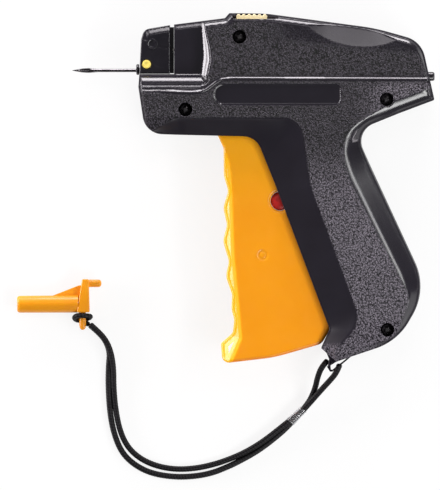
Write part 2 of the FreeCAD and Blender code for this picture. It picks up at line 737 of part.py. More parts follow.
# ---- cord, sleeve and cap ------------------------------------------------------------
def tube(points, name):
    """A cord: straight runs joined by tangent arcs."""
    points = [V(*p) for p in points]
    edges, radii = [], []
    start = points[0]
    for i in range(1, len(points) - 1):
        before, after = points[i] - points[i - 1], points[i + 1] - points[i]
        reach = 0.45 * min(before.Length, after.Length)
        turn = before.getAngle(after)
        a, b = V(before).normalize(), V(after).normalize()
        radius = reach / math.tan(turn / 2)
        radii.append(radius)
        middle = V(b - a).normalize() * (radius * (1 / math.cos(turn / 2) - 1))
        first, last = points[i] - a * reach, points[i] + b * reach
        edges.append(Part.LineSegment(start, first).toShape())
        edges.append(Part.Arc(first, points[i] + middle, last).toShape())
        start = last
    edges.append(Part.LineSegment(start, points[-1]).toShape())
    path = Part.Wire(edges)
    way = (points[1] - points[0]).normalize()
    circle = Part.Circle(points[0], way, cord_diameter / 2).toShape()
    solid = path.makePipeShell([Part.Wire(circle)], True, False)
    due = math.pi * cord_diameter ** 2 / 4 * path.Length
    print("%s: length %.1f, radii %.1f to %.1f, volume %.4f of what is due"
          % (name, path.Length, min(radii), max(radii), solid.Volume / due))
    return solid


def on_table(shape):
    """Cord pieces are drawn from the table up, so they go down by half_width first."""
    shape.translate(V(0, 0, -half_width))
    return shape


def cord_sleeve():
    """Clear sleeve round both strands."""
    start, end = [V(x, y, sleeve_radius + 0.1) for x, y in sleeve_ends]
    way = end - start
    outer = Part.makeCylinder(sleeve_radius, way.Length, start, way)
    inner = Part.makeCylinder(sleeve_radius - sleeve_wall, way.Length + 2,
                              start - V(way).normalize(), way)
    return without(outer, [inner])


def cord_hitch():
    """The cord's hitch round the cap's tail."""
    x, y = hitch_place
    start = V(x, y + 1.6, cap_radius + 0.05)
    outer = Part.makeCylinder(hitch_radius, 3.6, start, V(0, -1, 0))
    inner = Part.makeCylinder(tail_radius + fixed, 6, start + V(0, 1, 0), V(0, -1, 0))
    return without(outer, [inner])


def needle_cap():
    """Cap with a flange plate, a peg, a fin and a tail for the cord."""
    y, z = cap_axis_y, cap_radius + 0.05
    barrel = Part.makeCylinder(cap_radius, cap_length - cap_tip_length,
                               V(cap_tip_x + cap_tip_length, y, z), V(1, 0, 0))
    tip = Part.makeCone(cap_radius - cap_tip_length, cap_radius, cap_tip_length,
                        V(cap_tip_x, y, z), V(1, 0, 0))
    plate = prism([(-71.9, -36.4, 0.6), (-74.2, -50.4, 0.6), (-68.7, -50.4, 0.6),
                   (-69.1, -36.4, 0.6)], z - 3.5, z + 3.5)
    peg_end = Part.makeSphere(1.6, V(-63.8 - 1.6, -38.2, z))
    peg = joined([Part.makeCylinder(1.6, 4.3, V(-69.7, -38.2, z), V(1, 0, 0)), peg_end])
    fin = prism([(-87.0, -44.5), (-72.0, -44.5), (-71.5, -38.8), (-73.5, -39.1)],
                z - 0.8, z + 0.8)
    x, low = hitch_place[0], -57.8
    tail = Part.makeCylinder(tail_radius, -49.0 - low, V(x, -49.0, z), V(0, -1, 0))
    bore = Part.makeCylinder(cap_bore, 40.0, V(cap_tip_x + 2.7, y, z), V(1, 0, 0))
    return without(joined([barrel, tip, plate, peg, fin, tail]), [bore])


# ---- places that follow from the sizes above -----------------------------------------
pivot_end = 10.3
wheel_pin_end = nose_half_width - 0.9
spring_top = lever_thickness / 2 + 0.35 + 3.6
lever_pin_place = toward(lever_axis, -lower_arm, lower_lean)
carriage_pin_place = toward(lever_axis, fork_radius, fork_lean)
carriage_half = 5.0
rail_low, rail_high = barrel_height - 1.2, barrel_height + 1.0
leaf_x, leaf_y = (-9.0, 11.0), (70.4, 70.8)
wheel_window = (wheel_axis[1] - 4.6, wheel_axis[1] + 4.6)
base_half, base_top = 1.2, barrel_height + 1.2
lug_x, lug_top = (-43.4, -42.4), barrel_height + 2.1
foot_radius, waist_radius, stem_radius = 1.3, 0.45, 0.9
spring_floor, button_low = 4.0, 5.4
blade_x, blade_half = (nose_rear_x - 0.5, nose_rear_x), 3.0
blade_top = barrel_height + 3.8
index_top = 69.0
squeezed = turned(buffer_centre, trigger_axis, trigger_turn)
travel = V(squeezed[0] - buffer_centre[0], squeezed[1] - buffer_centre[1], 0).normalize()
stop_gap = buffer_radius + 2.0 + 0.3
stop_post_centre = (squeezed[0] + travel.x * stop_gap, squeezed[1] + travel.y * stop_gap)

nodes = {
    "left_shell": left_shell,
    "right_shell": right_shell,
    "shell_screws": shell_screws,
    "nose_block": nose_block,
    "needle": needle,
    "needle_base": needle_base,
    "needle_lock_button": needle_lock_button,
    "lock_button_spring": lock_button_spring,
    "cutter_blade": cutter_blade,
    "feed_wheel": feed_wheel,
    "feed_wheel_pin": feed_wheel_pin,
    "index_spring": index_spring,
    "carriage": carriage,
    "carriage_pin": carriage_pin,
    "push_rod": push_rod,
    "trigger": trigger,
    "trigger_buffer": trigger_buffer,
    "trigger_pivot_pin": trigger_pivot_pin,
    "trigger_link_pin": trigger_link_pin,
    "drive_links": drive_links,
    "drive_lever": drive_lever,
    "lever_pivot_pin": lever_pivot_pin,
    "lever_link_pin": lever_link_pin,
    "return_spring": return_spring,
    "feed_release_slider": feed_release_slider,
    "slider_detent_spring": slider_detent_spring,
    "rear_stop_plug": rear_stop_plug,
    "cord_strand_a": lambda: on_table(tube(strand_a, "strand a")),
    "cord_strand_b": lambda: on_table(tube(strand_b, "strand b")),
    "cord_sleeve": lambda: on_table(cord_sleeve()),
    "cord_hitch": lambda: on_table(cord_hitch()),
    "needle_cap": lambda: on_table(needle_cap()),
}

os.makedirs("parts", exist_ok=True)
for name, make in nodes.items():
    shape = make()
    shape.translate(V(0, 0, half_width))
    shape.exportStep("parts/" + name + ".step")
    print("%-22s solids %d valid %s volume %.2f"
          % (name, len(shape.Solids), shape.isValid(), shape.Volume))
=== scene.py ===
import json
import math

import bmesh
import bpy
import numpy as np
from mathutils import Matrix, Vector
from mathutils.geometry import delaunay_2d_cdt


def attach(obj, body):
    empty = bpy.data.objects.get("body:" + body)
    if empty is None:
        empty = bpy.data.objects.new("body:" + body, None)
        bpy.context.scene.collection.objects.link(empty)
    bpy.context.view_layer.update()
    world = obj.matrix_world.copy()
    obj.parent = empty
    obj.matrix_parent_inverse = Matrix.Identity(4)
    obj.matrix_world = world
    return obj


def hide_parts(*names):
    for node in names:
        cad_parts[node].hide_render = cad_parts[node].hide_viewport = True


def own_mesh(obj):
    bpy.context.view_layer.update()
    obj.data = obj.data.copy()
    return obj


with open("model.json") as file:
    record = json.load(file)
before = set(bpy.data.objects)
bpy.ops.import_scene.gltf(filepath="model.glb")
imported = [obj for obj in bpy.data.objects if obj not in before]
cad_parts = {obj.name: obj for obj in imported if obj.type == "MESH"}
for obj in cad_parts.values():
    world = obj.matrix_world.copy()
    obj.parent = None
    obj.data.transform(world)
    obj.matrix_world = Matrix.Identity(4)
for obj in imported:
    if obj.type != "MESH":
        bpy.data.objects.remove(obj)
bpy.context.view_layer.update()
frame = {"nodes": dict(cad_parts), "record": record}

# The dressed garment tag attacher. Drawings are in millimetres, with z = 0 at the parting
# plane between the shells; LIFT raises that plane above the table, and MM makes metres.
MM = 0.001
LIFT = 14.5
PITCH = 0.4      # spacing of the points inside a relief

HALF_WIDTH = 14.5        # parting plane to the flat of each side
EDGE_HEIGHT = 9.4        # height of the side where it meets the silhouette
HEAD_HALF = 7.5          # half the slim head's width
UPPER_STEP = 0.5         # the upper side lies this much lower
LIP_X = -33.3
BARREL_Y = 51.2
NOSE_FLOOR = BARREL_Y - 1.5
NOSE_REAR_X = -35.0
TRIGGER_HALF = 7.0
MOUTH_HALF = 7.4
SCREWS = [(-28.5, 34.8), (-5.8, 65.3), (56.0, 39.0), (56.3, -57.7)]
SCREW_RECESS = 2.86
SCREW_SEAT = 9.25
BUFFER = (11.2, -3.6)
BUFFER_RADIUS = 4.0
LINK_PIN = (3.9, -26.3)
BUTTON = (-44.8, BARREL_Y + 2.6)
CAP_HEIGHT = 3.7         # height of the cap's axis above the table
SEAM = 0.01              # gap from the parting plane to each shell
SIDE_EDGE = 0.6          # radius of the shells' edge along the silhouette
SCREW_RIM = 0.3          # radius of the edge round each screw recess
LABEL_DEPTH = 0.5
CORE_INSET = 1.4         # how far the core lies inside the silhouette,
CORE_DEPTH = 1.2         # and how far under the side
SLIDER_SLOT_X = (-8.9, 10.3)

WORLD_LIGHT = 0.15       # strength of the world's light on the object
FLOOR_COLOUR = (0.96, 0.96, 0.96, 1)
FLOOR_GLOW = 0.85        # how much of the floor is plain white to the camera
MOST_OF_SIDE = 0.98      # share of an outline's side that its corners' arcs may take
LEAST_RADIUS = 0.2       # smallest radius of a rounded corner that is inset
AT_A_TIME = 4000         # points whose distances are worked out together
CLEARANCE = 0.42         # a grid point's least distance from a line, in spacings
EDGE_STEPS = 5           # bands along a rounded edge


# ---- camera, light and floor -----------------------------------------------------------
def camera():
    data = bpy.data.cameras.new("camera")
    data.type = "ORTHO"
    data.ortho_scale = 0.2058
    data.clip_end = 5.0
    eye = in_scene("camera", data)
    eye.location = (-0.0140, -0.0221, 0.5)
    bpy.context.scene.camera = eye


def lamp(name, direction, distance, size, power, colour=(1, 1, 1)):
    """A soft box that looks at the middle of the object from a direction."""
    data = bpy.data.lights.new(name, "AREA")
    data.shape = "RECTANGLE"
    data.size, data.size_y = size
    data.energy = power
    data.color = colour
    box = in_scene(name, data)
    way = Vector(direction).normalized()
    box.location = Vector((0, 0, 0.015)) + way * distance
    box.rotation_euler = way.to_track_quat("Z", "Y").to_euler()
    box.visible_camera = False


def studio():
    cool = (1.0, 0.95, 0.99)
    lamp("key_box", (0.715, 0.06, 0.69), 0.8, (0.70, 0.12), 2.3)
    lamp("heel_box", (0.472, -0.604, 0.643), 0.8, (0.50, 0.18), 3.4)
    lamp("left_box", (-0.98, 0.10, 0.18), 0.7, (0.44, 0.20), 4.9, cool)
    lamp("top_box", (0.08, 0.98, 0.18), 0.7, (0.56, 0.22), 5.9, cool)
    lamp("crown_box", (0.05, 0.40, 0.92), 0.8, (0.30, 0.10), 0.4, cool)
    lamp("corner_box", (-0.70, 0.69, 0.18), 0.7, (0.30, 0.20), 1.6, cool)
    lamp("low_right_box", (0.90, -0.42, 0.16), 0.8, (0.5, 0.10), 0.9, cool)

    world = bpy.data.worlds.new("studio")
    world.use_nodes = True
    bpy.context.scene.world = world
    n = Nodes(world.node_tree)
    seen = n.add("ShaderNodeLightPath").outputs["Is Camera Ray"]
    back = n.tree.nodes["Background"]
    n.put((1, 1, 1, 1), back.inputs["Color"])
    n.put(n.span(seen, 0.0, 1.0, WORLD_LIGHT, 1.0), back.inputs["Strength"])

    mesh = bpy.data.meshes.new("floor")
    reach, below = 2.5, -0.0003
    mesh.from_pydata([(-reach, -reach, below), (reach, -reach, below),
                      (reach, reach, below), (-reach, reach, below)], [], [(0, 1, 2, 3)])
    floor = in_scene("floor", mesh)
    paper = bpy.data.materials.new("floor_paper")
    paper.use_nodes = True
    n = Nodes(paper.node_tree)
    n.tree.nodes.clear()
    ray = n.add("ShaderNodeLightPath").outputs
    seen = n.maths("MAXIMUM", ray["Is Camera Ray"], ray["Is Glossy Ray"])
    seen = n.maths("MAXIMUM", seen, ray["Is Transmission Ray"])
    mix = n.add("ShaderNodeMixShader", Fac=n.maths("MULTIPLY", seen, FLOOR_GLOW))
    n.put(n.add("ShaderNodeBsdfDiffuse", Color=FLOOR_COLOUR).outputs[0], mix.inputs[1])
    n.put(n.add("ShaderNodeEmission", Strength=1.0).outputs[0], mix.inputs[2])
    n.add("ShaderNodeOutputMaterial", Surface=mix.outputs[0])
    mesh.materials.append(paper)


# ---- materials -------------------------------------------------------------------------
class Nodes:
    """Adds nodes to a tree. A socket is given a value, or the output that feeds it."""

    def __init__(self, tree):
        self.tree = tree

    def put(self, value, socket):
        if hasattr(value, "is_output"):
            self.tree.links.new(value, socket)
        else:
            socket.default_value = value

    def add(self, kind, settings=None, **sockets):
        node = self.tree.nodes.new(kind)
        for key, value in (settings or {}).items():
            setattr(node, key, value)
        for key, value in sockets.items():
            self.put(value, node.inputs[key.replace("_", " ")])
        return node

    def span(self, value, low, high, start=0.0, end=1.0):
        return self.add("ShaderNodeMapRange", Value=value, From_Min=low, From_Max=high,
                        To_Min=start, To_Max=end).outputs["Result"]

    def maths(self, operation, a, b):
        node = self.add("ShaderNodeMath", {"operation": operation})
        self.put(a, node.inputs[0])
        self.put(b, node.inputs[1])
        return node.outputs[0]


class Finish(Nodes):
    """A node material on a Principled shader."""

    def __init__(self, name, **sockets):
        self.material = bpy.data.materials.new(name)
        self.material.use_nodes = True
        super().__init__(self.material.node_tree)
        self.shader = self.tree.nodes["Principled BSDF"]
        self.use(**sockets)
        self.place = self.add("ShaderNodeTexCoord").outputs["Object"]

    def use(self, **sockets):
        for key, value in sockets.items():
            self.put(value, self.shader.inputs[key.replace("_", " ")])
        return self.material

    def noise(self, scale, detail=2.0, roughness=0.5, stretch=None):
        """Noise over the object, with a cell of about 1 / scale metres."""
        place = self.place
        if stretch:
            place = self.add("ShaderNodeMapping", Vector=place,
                             Scale=stretch).outputs["Vector"]
        return self.add("ShaderNodeTexNoise", Vector=place, Scale=scale, Detail=detail,
                        Roughness=roughness).outputs["Fac"]

    def cells(self, scale, smooth):
        return self.add("ShaderNodeTexVoronoi", {"feature": "SMOOTH_F1"}, Vector=self.place,
                        Scale=scale, Smoothness=smooth).outputs["Distance"]

    def blend(self, factor, first, second):
        node = self.add("ShaderNodeMix", {"data_type": "RGBA"}, Factor=factor)
        for key, value in (("A", first), ("B", second)):
            self.put(value, [s for s in node.inputs if s.name == key and s.type == "RGBA"][0])
        return [s for s in node.outputs if s.type == "RGBA"][0]

    def attribute(self, name):
        return self.add("ShaderNodeAttribute", {"attribute_name": name}).outputs["Fac"]

    def bump(self, height, distance, strength=1.0, after=None):
        under = {} if after is None else {"Normal": after}
        return self.add("ShaderNodeBump", Height=height, Distance=distance,
                        Strength=strength, **under).outputs["Normal"]


def rgb(*values):
    """A linear colour from one written as it is seen, 0 to 255."""
    return tuple((v / 255) ** 2.2 for v in values) + (1.0,)


def grained_plastic():
    """Moulded plastic with a pebble grain where the vertex value grain is 1. The grain's colour
    is partly painted light: painted glints on the pebble tops, painted shade in the hollows, and
    a paler lit copy where the shell's painted-light value is high.
    """
    f = Finish("charcoal_plastic")
    grain, matt = f.attribute("grain"), f.attribute("matt")
    pebbles = f.maths("SUBTRACT", 1.0, f.cells(1400.0, 0.4))
    fine = f.noise(2100.0, 2.0, 0.6)
    height = f.maths("ADD", f.maths("MULTIPLY", pebbles, 0.5), f.maths("MULTIPLY", fine, 0.8))
    # Painted glints and shade: the pebble tops are painted lighter and the hollows darker.
    tops = f.span(height, 0.54, 0.94)
    plain = f.blend(f.noise(90.0), rgb(30, 27, 33), rgb(37, 35, 42))
    # Painted light: where the shell's painted-light value is high, the speckle is a paler, lit
    # copy.
    painted_light_speckle = f.blend(f.attribute("painted_lit_grain"), f.blend(tops, rgb(1, 0, 2), rgb(80, 76, 84)),
                       f.blend(tops, rgb(19, 17, 23), rgb(138, 132, 142)))
    rough = f.span(f.maths("ADD", grain, f.maths("MULTIPLY", f.noise(400.0), 0.15)),
                   0.0, 1.15, 0.17, 0.38)
    dull = f.maths("ADD", matt, f.maths("MULTIPLY", grain, 0.75))
    return f.use(
        Base_Color=f.blend(grain, plain, painted_light_speckle),
        Roughness=f.maths("ADD", rough, f.maths("MULTIPLY", matt, 0.25)),
        Specular_IOR_Level=f.span(dull, 0.0, 1.0, 0.63, 0.14),
        Normal=f.bump(height, 0.00048, grain, f.bump(f.noise(700.0, 4.0), 0.00001, 0.4)))


def smooth_plastic(name, dark, light, rough, wear=0.0, painted_shade_highlight=None, **sockets):
    """Moulded plastic with slight flow marks, tiny scratches and a varied gloss."""
    f = Finish(name, **sockets)
    colour = f.blend(f.span(f.noise(60.0, 3.0), 0.3, 0.7), dark, light)
    # Painted light and shade: a vertex value paints a deeper shade colour where it is low and a
    # paler highlight colour where it is high.
    if painted_shade_highlight:
        painted_light_shade = f.attribute("painted_light_shade")
        colour = f.blend(f.span(painted_light_shade, 0.0, 0.5), painted_shade_highlight[0], colour)
        colour = f.blend(f.span(painted_light_shade, 0.5, 1.0), colour, painted_shade_highlight[1])
    if wear:
        edge = f.add("ShaderNodeNewGeometry").outputs["Pointiness"]
        rubbed = f.maths("MULTIPLY", f.span(edge, 0.52, 0.60), f.noise(900.0))
        paler = tuple(min(1.0, c * 1.5 + 0.03) for c in light[:3]) + (1.0,)
        colour = f.blend(f.maths("MULTIPLY", rubbed, wear), colour, paler)
    scratches = f.noise(1800.0, 2.0, 0.6, (1.0, 0.12, 0.5))
    gloss = f.span(f.noise(260.0, 4.0, 0.6), 0.25, 0.75, rough - 0.05, rough + 0.08)
    flow = f.bump(f.noise(420.0, 3.0), 0.000015, 0.35)
    return f.use(Base_Color=colour, Roughness=gloss,
                 Normal=f.bump(scratches, 0.000004, 0.5, flow))


def metal(name, tint, rough, stretch):
    """Steel with fine drawn lines and a few darker stains."""
    f = Finish(name, Metallic=1.0)
    lines = f.noise(2400.0, 3.0, 0.6, stretch)
    stain = f.span(f.noise(140.0, 3.0), 0.35, 0.7)
    colour = f.blend(stain, tint, tuple(c * 0.55 for c in tint[:3]) + (1.0,))
    return f.use(Base_Color=colour, Roughness=f.span(lines, 0.2, 0.8, rough - 0.08, rough + 0.1),
                 Normal=f.bump(lines, 0.000006, 0.5))


def rubber():
    f = Finish("red_rubber", Specular_IOR_Level=0.5)
    colour = f.blend(f.span(f.noise(300.0, 3.0), 0.3, 0.7), rgb(203, 41, 36), rgb(119, 12, 14))
    return f.use(Base_Color=colour, Roughness=f.span(f.noise(800.0), 0.3, 0.7, 0.3, 0.45),
                 Normal=f.bump(f.noise(1500.0, 3.0), 0.00002, 0.4))


def braid():
    f = Finish("black_cord", Specular_IOR_Level=0.17)
    painted_lit_crest = f.attribute("painted_lit_crest")
    fibre = f.noise(5200.0, 2.0, 0.7)
    # Painted highlight: the braid's crests on the cord's upper side are painted lighter; the
    # rest stays dark as painted shade.
    colour = f.blend(f.maths("MULTIPLY", painted_lit_crest, f.span(fibre, 0.1, 0.6)),
                     rgb(1, 1, 2), rgb(50, 48, 52))
    return f.use(Base_Color=colour, Roughness=f.span(fibre, 0.2, 0.8, 0.4, 0.6),
                 Normal=f.bump(fibre, 0.00004, 0.7))


def clear_plastic():
    f = Finish("clear_sleeve", Transmission_Weight=0.93, IOR=1.5)
    wrinkles = f.noise(240.0, 1.0, 0.5, (1.0, 1.0, 0.5))
    return f.use(Roughness=f.span(f.noise(700.0, 3.0), 0.3, 0.7, 0.03, 0.12),
                 Base_Color=f.blend(f.noise(300.0), (0.78, 0.78, 0.81, 1), (0.9, 0.9, 0.92, 1)),
                 Normal=f.bump(wrinkles, 0.0001, 0.8))


ORANGE_GLOW = {"Subsurface_Weight": 0.08, "Subsurface_Scale": 0.5}
finishes = {
    "charcoal_plastic": grained_plastic(),
    "smooth_black_plastic": smooth_plastic(
        "smooth_black_plastic", rgb(26, 24, 30), rgb(33, 31, 37), 0.17, 0.5,
        Specular_IOR_Level=0.63),
    "orange_plastic": smooth_plastic(
        "orange_plastic", rgb(237, 150, 10), rgb(242, 156, 14), 0.33,
        # Painted shade colour and painted highlight colour for the trigger.
        painted_shade_highlight=(rgb(228, 130, 12), rgb(250, 182, 14)),
        Subsurface_Radius=(0.004, 0.0015, 0.0005), **ORANGE_GLOW),
    "cap_orange": smooth_plastic(
        "cap_orange", rgb(224, 140, 5), rgb(232, 151, 9), 0.36,
        Subsurface_Radius=(0.003, 0.0015, 0.0005), **ORANGE_GLOW),
    "yellow_plastic": smooth_plastic(
        "yellow_plastic", rgb(236, 210, 84), rgb(242, 220, 114), 0.34),
    "cream_plastic": smooth_plastic(
        "cream_plastic", rgb(243, 227, 172), rgb(248, 236, 194), 0.34),
    "natural_nylon": smooth_plastic(
        "natural_nylon", rgb(226, 224, 214), rgb(238, 236, 228), 0.45),
    "dark_steel": metal("dark_steel", (0.23, 0.22, 0.23, 1), 0.24, (0.1, 1.0, 1.0)),
    "pin_steel": metal("pin_steel", (0.42, 0.42, 0.43, 1), 0.3, (1.0, 1.0, 0.1)),
    "spring_steel": metal("spring_steel", (0.5, 0.5, 0.53, 1), 0.22, (0.3, 1.0, 1.0)),
    "red_rubber": rubber(),
    "black_cord": braid(),
    "clear_sleeve": clear_plastic(),
}


# ---- outlines --------------------------------------------------------------------------
def turned(point, angle):
    """A point in the plane, turned about the origin."""
    x, y = point[0], point[1]
    return np.array([x * math.cos(angle) - y * math.sin(angle),
                     x * math.sin(angle) + y * math.cos(angle)])


def rounded(rows, step=0.5):
    """A closed polyline through rows of x, y, radius, with its points a step apart."""
    rows = np.array(rows, float)
    points, radius = rows[:, :2], rows[:, 2]
    before = points - np.roll(points, 1, 0)
    after = np.roll(points, -1, 0) - points
    room = np.linalg.norm(after, axis=1)
    before /= np.linalg.norm(before, axis=1)[:, None]
    after /= room[:, None]
    turn = np.arccos(np.clip((before * after).sum(1), -1, 1))
    reach = np.where(turn > 1e-3, radius * np.tan(turn / 2), 0.0)
    n = len(points)
    for i in range(n):
        j = (i + 1) % n
        most, both = MOST_OF_SIDE * room[i], reach[i] + reach[j]
        if both > most:
            reach[i], reach[j] = reach[i] * most / both, reach[j] * most / both
    path = []
    for i in range(n):
        j = (i + 1) % n
        start, end = points[i] - before[i] * reach[i], points[i] + after[i] * reach[i]
        if reach[i] > 1e-6:
            bend = reach[i] / math.tan(turn[i] / 2)
            side = 1.0 if np.cross(before[i], after[i]) > 0 else -1.0
            centre = start + np.array([-before[i][1], before[i][0]]) * side * bend
            steps = max(3, math.ceil(bend * turn[i] / step))
            path += [centre + turned(start - centre, side * turn[i] * k / steps)
                     for k in range(steps + 1)]
        else:
            path.append(points[i])
        following = points[j] - before[j] * reach[j]
        count = int(np.linalg.norm(following - end) / step)
        path += [end + (following - end) * k / count for k in range(1, count)]
    path = np.array(path)
    keep = np.linalg.norm(path - np.roll(path, 1, 0), axis=1) > 0.02
    return path[keep]


def inset(rows, distance):
    """Rows moved inwards, with rounded corners still concentric."""
    points = np.array([r[:2] for r in rows], float)
    moved = []
    for i, place in enumerate(points):
        before = place - points[i - 1]
        after = points[(i + 1) % len(rows)] - place
        before, after = before / np.linalg.norm(before), after / np.linalg.norm(after)
        n1, n2 = np.array([-before[1], before[0]]), np.array([-after[1], after[0]])
        place = place + (n1 + n2) * distance / (1 + n1.dot(n2))
        radius = rows[i][2]
        if radius > 0:
            outwards = distance if np.cross(before, after) > 0 else -distance
            radius = max(radius - outwards, LEAST_RADIUS)
        moved.append((place[0], place[1], radius))
    return moved


def circle(centre, radius, step=0.4):
    count = max(24, int(2 * math.pi * radius / step))
    a = np.arange(count) * 2 * math.pi / count
    return np.stack([centre[0] + radius * np.cos(a), centre[1] + radius * np.sin(a)], 1)


def open_curve(rows, out=(0, 400)):
    """An open polyline through rows of x, y, radius. Its ends are joined far out."""
    far = [(r[0] + out[0], r[1] + out[1], 0.0) for r in (rows[-1], rows[0])]
    closed = rounded(rows + far)
    start, end = (np.argmin(np.linalg.norm(closed - np.array(r[:2]), axis=1))
                  for r in (rows[0], rows[-1]))
    return closed[start:end + 1]


def distance(points, path, closed=True):
    """Each point's distance to a polyline, the nearest place on it, its side and inside."""
    first = path if closed else path[:-1]
    last = np.roll(path, -1, 0) if closed else path[1:]
    way = last - first
    length = (way ** 2).sum(1)
    best = np.full(len(points), np.inf)
    near = np.zeros((len(points), 2))
    side = np.zeros(len(points))
    inside = np.zeros(len(points), bool)
    for low in range(0, len(points), AT_A_TIME):
        here = slice(low, low + AT_A_TIME)
        part = points[here]
        rel = part[:, None, :] - first[None, :, :]
        t = np.clip((rel * way).sum(2) / length, 0, 1)
        gap = rel - t[:, :, None] * way
        d2 = (gap ** 2).sum(2)
        k = d2.argmin(1)
        rows = np.arange(len(part))
        best[here] = np.sqrt(d2[rows, k])
        near[here] = part - gap[rows, k]
        side[here] = np.sign(way[k, 0] * rel[rows, k, 1] - way[k, 1] * rel[rows, k, 0])
        if closed:
            y = part[:, 1][:, None]
            crossing = (first[None, :, 1] > y) != (last[None, :, 1] > y)
            height = np.where(np.abs(way[:, 1]) > 1e-12, way[:, 1], 1e-12)
            x = first[None, :, 0] + (y - first[None, :, 1]) * way[None, :, 0] / height
            inside[here] = (crossing & (part[:, 0][:, None] < x)).sum(1) % 2 == 1
    return best, near, side, inside


def gap_to(points, path):
    """Distance to an open polyline."""
    return distance(points, np.array(path, float), False)[0]


def signed(points, path):
    """Distance to a closed polyline, positive inside."""
    d, _, _, inside = distance(points, path)
    return np.where(inside, d, -d)


def beside(points, path):
    """Distance to an open polyline, positive on its left."""
    d, _, side, _ = distance(points, path, False)
    return d * side


# ---- mesh helpers ----------------------------------------------------------------------
def in_scene(name, data):
    """A new object in the scene."""
    obj = bpy.data.objects.new(name, data)
    bpy.context.scene.collection.objects.link(obj)
    return obj


def weld(mesh, gap, outwards=True):
    """Joins points closer than a gap, and may turn the faces outwards."""
    work = bmesh.new()
    work.from_mesh(mesh)
    bmesh.ops.remove_doubles(work, verts=work.verts, dist=gap)
    if outwards:
        bmesh.ops.recalc_face_normals(work, faces=work.faces)
    work.to_mesh(mesh)
    work.free()


def mesh_object(name, verts, faces, lift=LIFT):
    """An object from places in millimetres; its faces point outwards."""
    co = np.array(verts, float)
    co[:, 2] += lift
    mesh = bpy.data.meshes.new(name)
    mesh.from_pydata((co * MM).tolist(), [], [list(map(int, f)) for f in faces])
    weld(mesh, 1e-7)
    return in_scene(name, mesh)


def places(mesh):
    """The places of a mesh's points, in millimetres."""
    co = np.zeros(len(mesh.vertices) * 3)
    mesh.vertices.foreach_get("co", co)
    return co.reshape(-1, 3) / MM


def write(mesh, name, value):
    """Writes a vertex value that the materials read."""
    mesh.attributes.new(name, "FLOAT", "POINT").data.foreach_set("value", value)


def settle(obj):
    """Applies the object's modifiers to its mesh."""
    seen = obj.evaluated_get(bpy.context.evaluated_depsgraph_get())
    mesh = bpy.data.meshes.new_from_object(seen)
    obj.modifiers.clear()
    old = obj.data
    obj.data = mesh
    bpy.data.meshes.remove(old)
    return obj


def cut(obj, *tools, operation="DIFFERENCE"):
    """Cuts the tools away, or does another operation with them, and removes them."""
    for tool in tools:
        mod = obj.modifiers.new("cut", "BOOLEAN")
        mod.operation = operation
        mod.solver = "MANIFOLD"
        mod.object = tool
        settle(obj)
        bpy.data.objects.remove(tool)
    return obj


def join(obj, *tools):
    return cut(obj, *tools, operation="UNION")


def smooth(obj, angle):
    obj.data.shade_smooth()
    obj.data.set_sharp_from_angle(angle=math.radians(angle))
    return obj


def soften(obj, width, segments):
    """Rounds the sharp edges."""
    mod = obj.modifiers.new("soft_edges", "BEVEL")
    mod.width = width * MM
    mod.segments = segments
    mod.limit_method = "ANGLE"
    mod.angle_limit = math.radians(35)
    mod.use_clamp_overlap = True
    return settle(obj)


def prism(name, path, low, high, lift=LIFT):
    """A straight prism on a closed polyline."""
    n = len(path)
    verts = [(p[0], p[1], low) for p in path] + [(p[0], p[1], high) for p in path]
    faces = [list(range(n))[::-1], list(range(n, 2 * n))]
    faces += [(i, (i + 1) % n, n + (i + 1) % n, n + i) for i in range(n)]
    return mesh_object(name, verts, faces, lift)


def rectangle(x, y):
    return [(x[0], y[0]), (x[1], y[0]), (x[1], y[1]), (x[0], y[1])]


def box(name, x, y, z):
    return prism(name, rectangle(x, y), z[0], z[1])


def band(a, b):
    """The faces between two rings of points; a ring may be a single point."""
    faces = []
    count = max(len(a), len(b))
    for k in range(count):
        j = (k + 1) % count
        if len(a) == 1:
            faces.append((a[0], b[j], b[k]))
        elif len(b) == 1:
            faces.append((a[k], a[j], b[0]))
        else:
            faces.append((a[k], a[j], b[j], b[k]))
    return faces


def skin(rings):
    """The faces along a run of rings, with its ends closed."""
    faces = [face for a, b in zip(rings, rings[1:]) for face in band(a, b)]
    return faces + [ring for ring in (rings[0], rings[-1]) if len(ring) > 1]


def lathe(name, profile, start, way, count=48, lift=LIFT):
    """A profile of (along, radius) turned about an axis; a profile with open ends closes
    on itself."""
    start, way = Vector(start), Vector(way).normalized()
    side = way.orthogonal().normalized()
    other = way.cross(side)
    turns = [2 * math.pi * k / count for k in range(count)]
    verts, rings = [], []
    for along, radius in profile:
        centre = start + way * along
        points = [centre] if radius < 1e-6 else [
            centre + (side * math.cos(a) + other * math.sin(a)) * radius for a in turns]
        rings.append(range(len(verts), len(verts) + len(points)))
        verts += points
    if len(rings[0]) > 1 and len(rings[-1]) > 1:
        rings.append(rings[0])
    faces = [face for a, b in zip(rings, rings[1:]) for face in band(a, b)]
    return mesh_object(name, [tuple(v) for v in verts], faces, lift)


def drill(name, radius, length, start, way, count):
    """A plain cutter for a round hole."""
    return lathe(name, [(0, 0), (0, radius), (length, radius), (length, 0)], start, way, count)


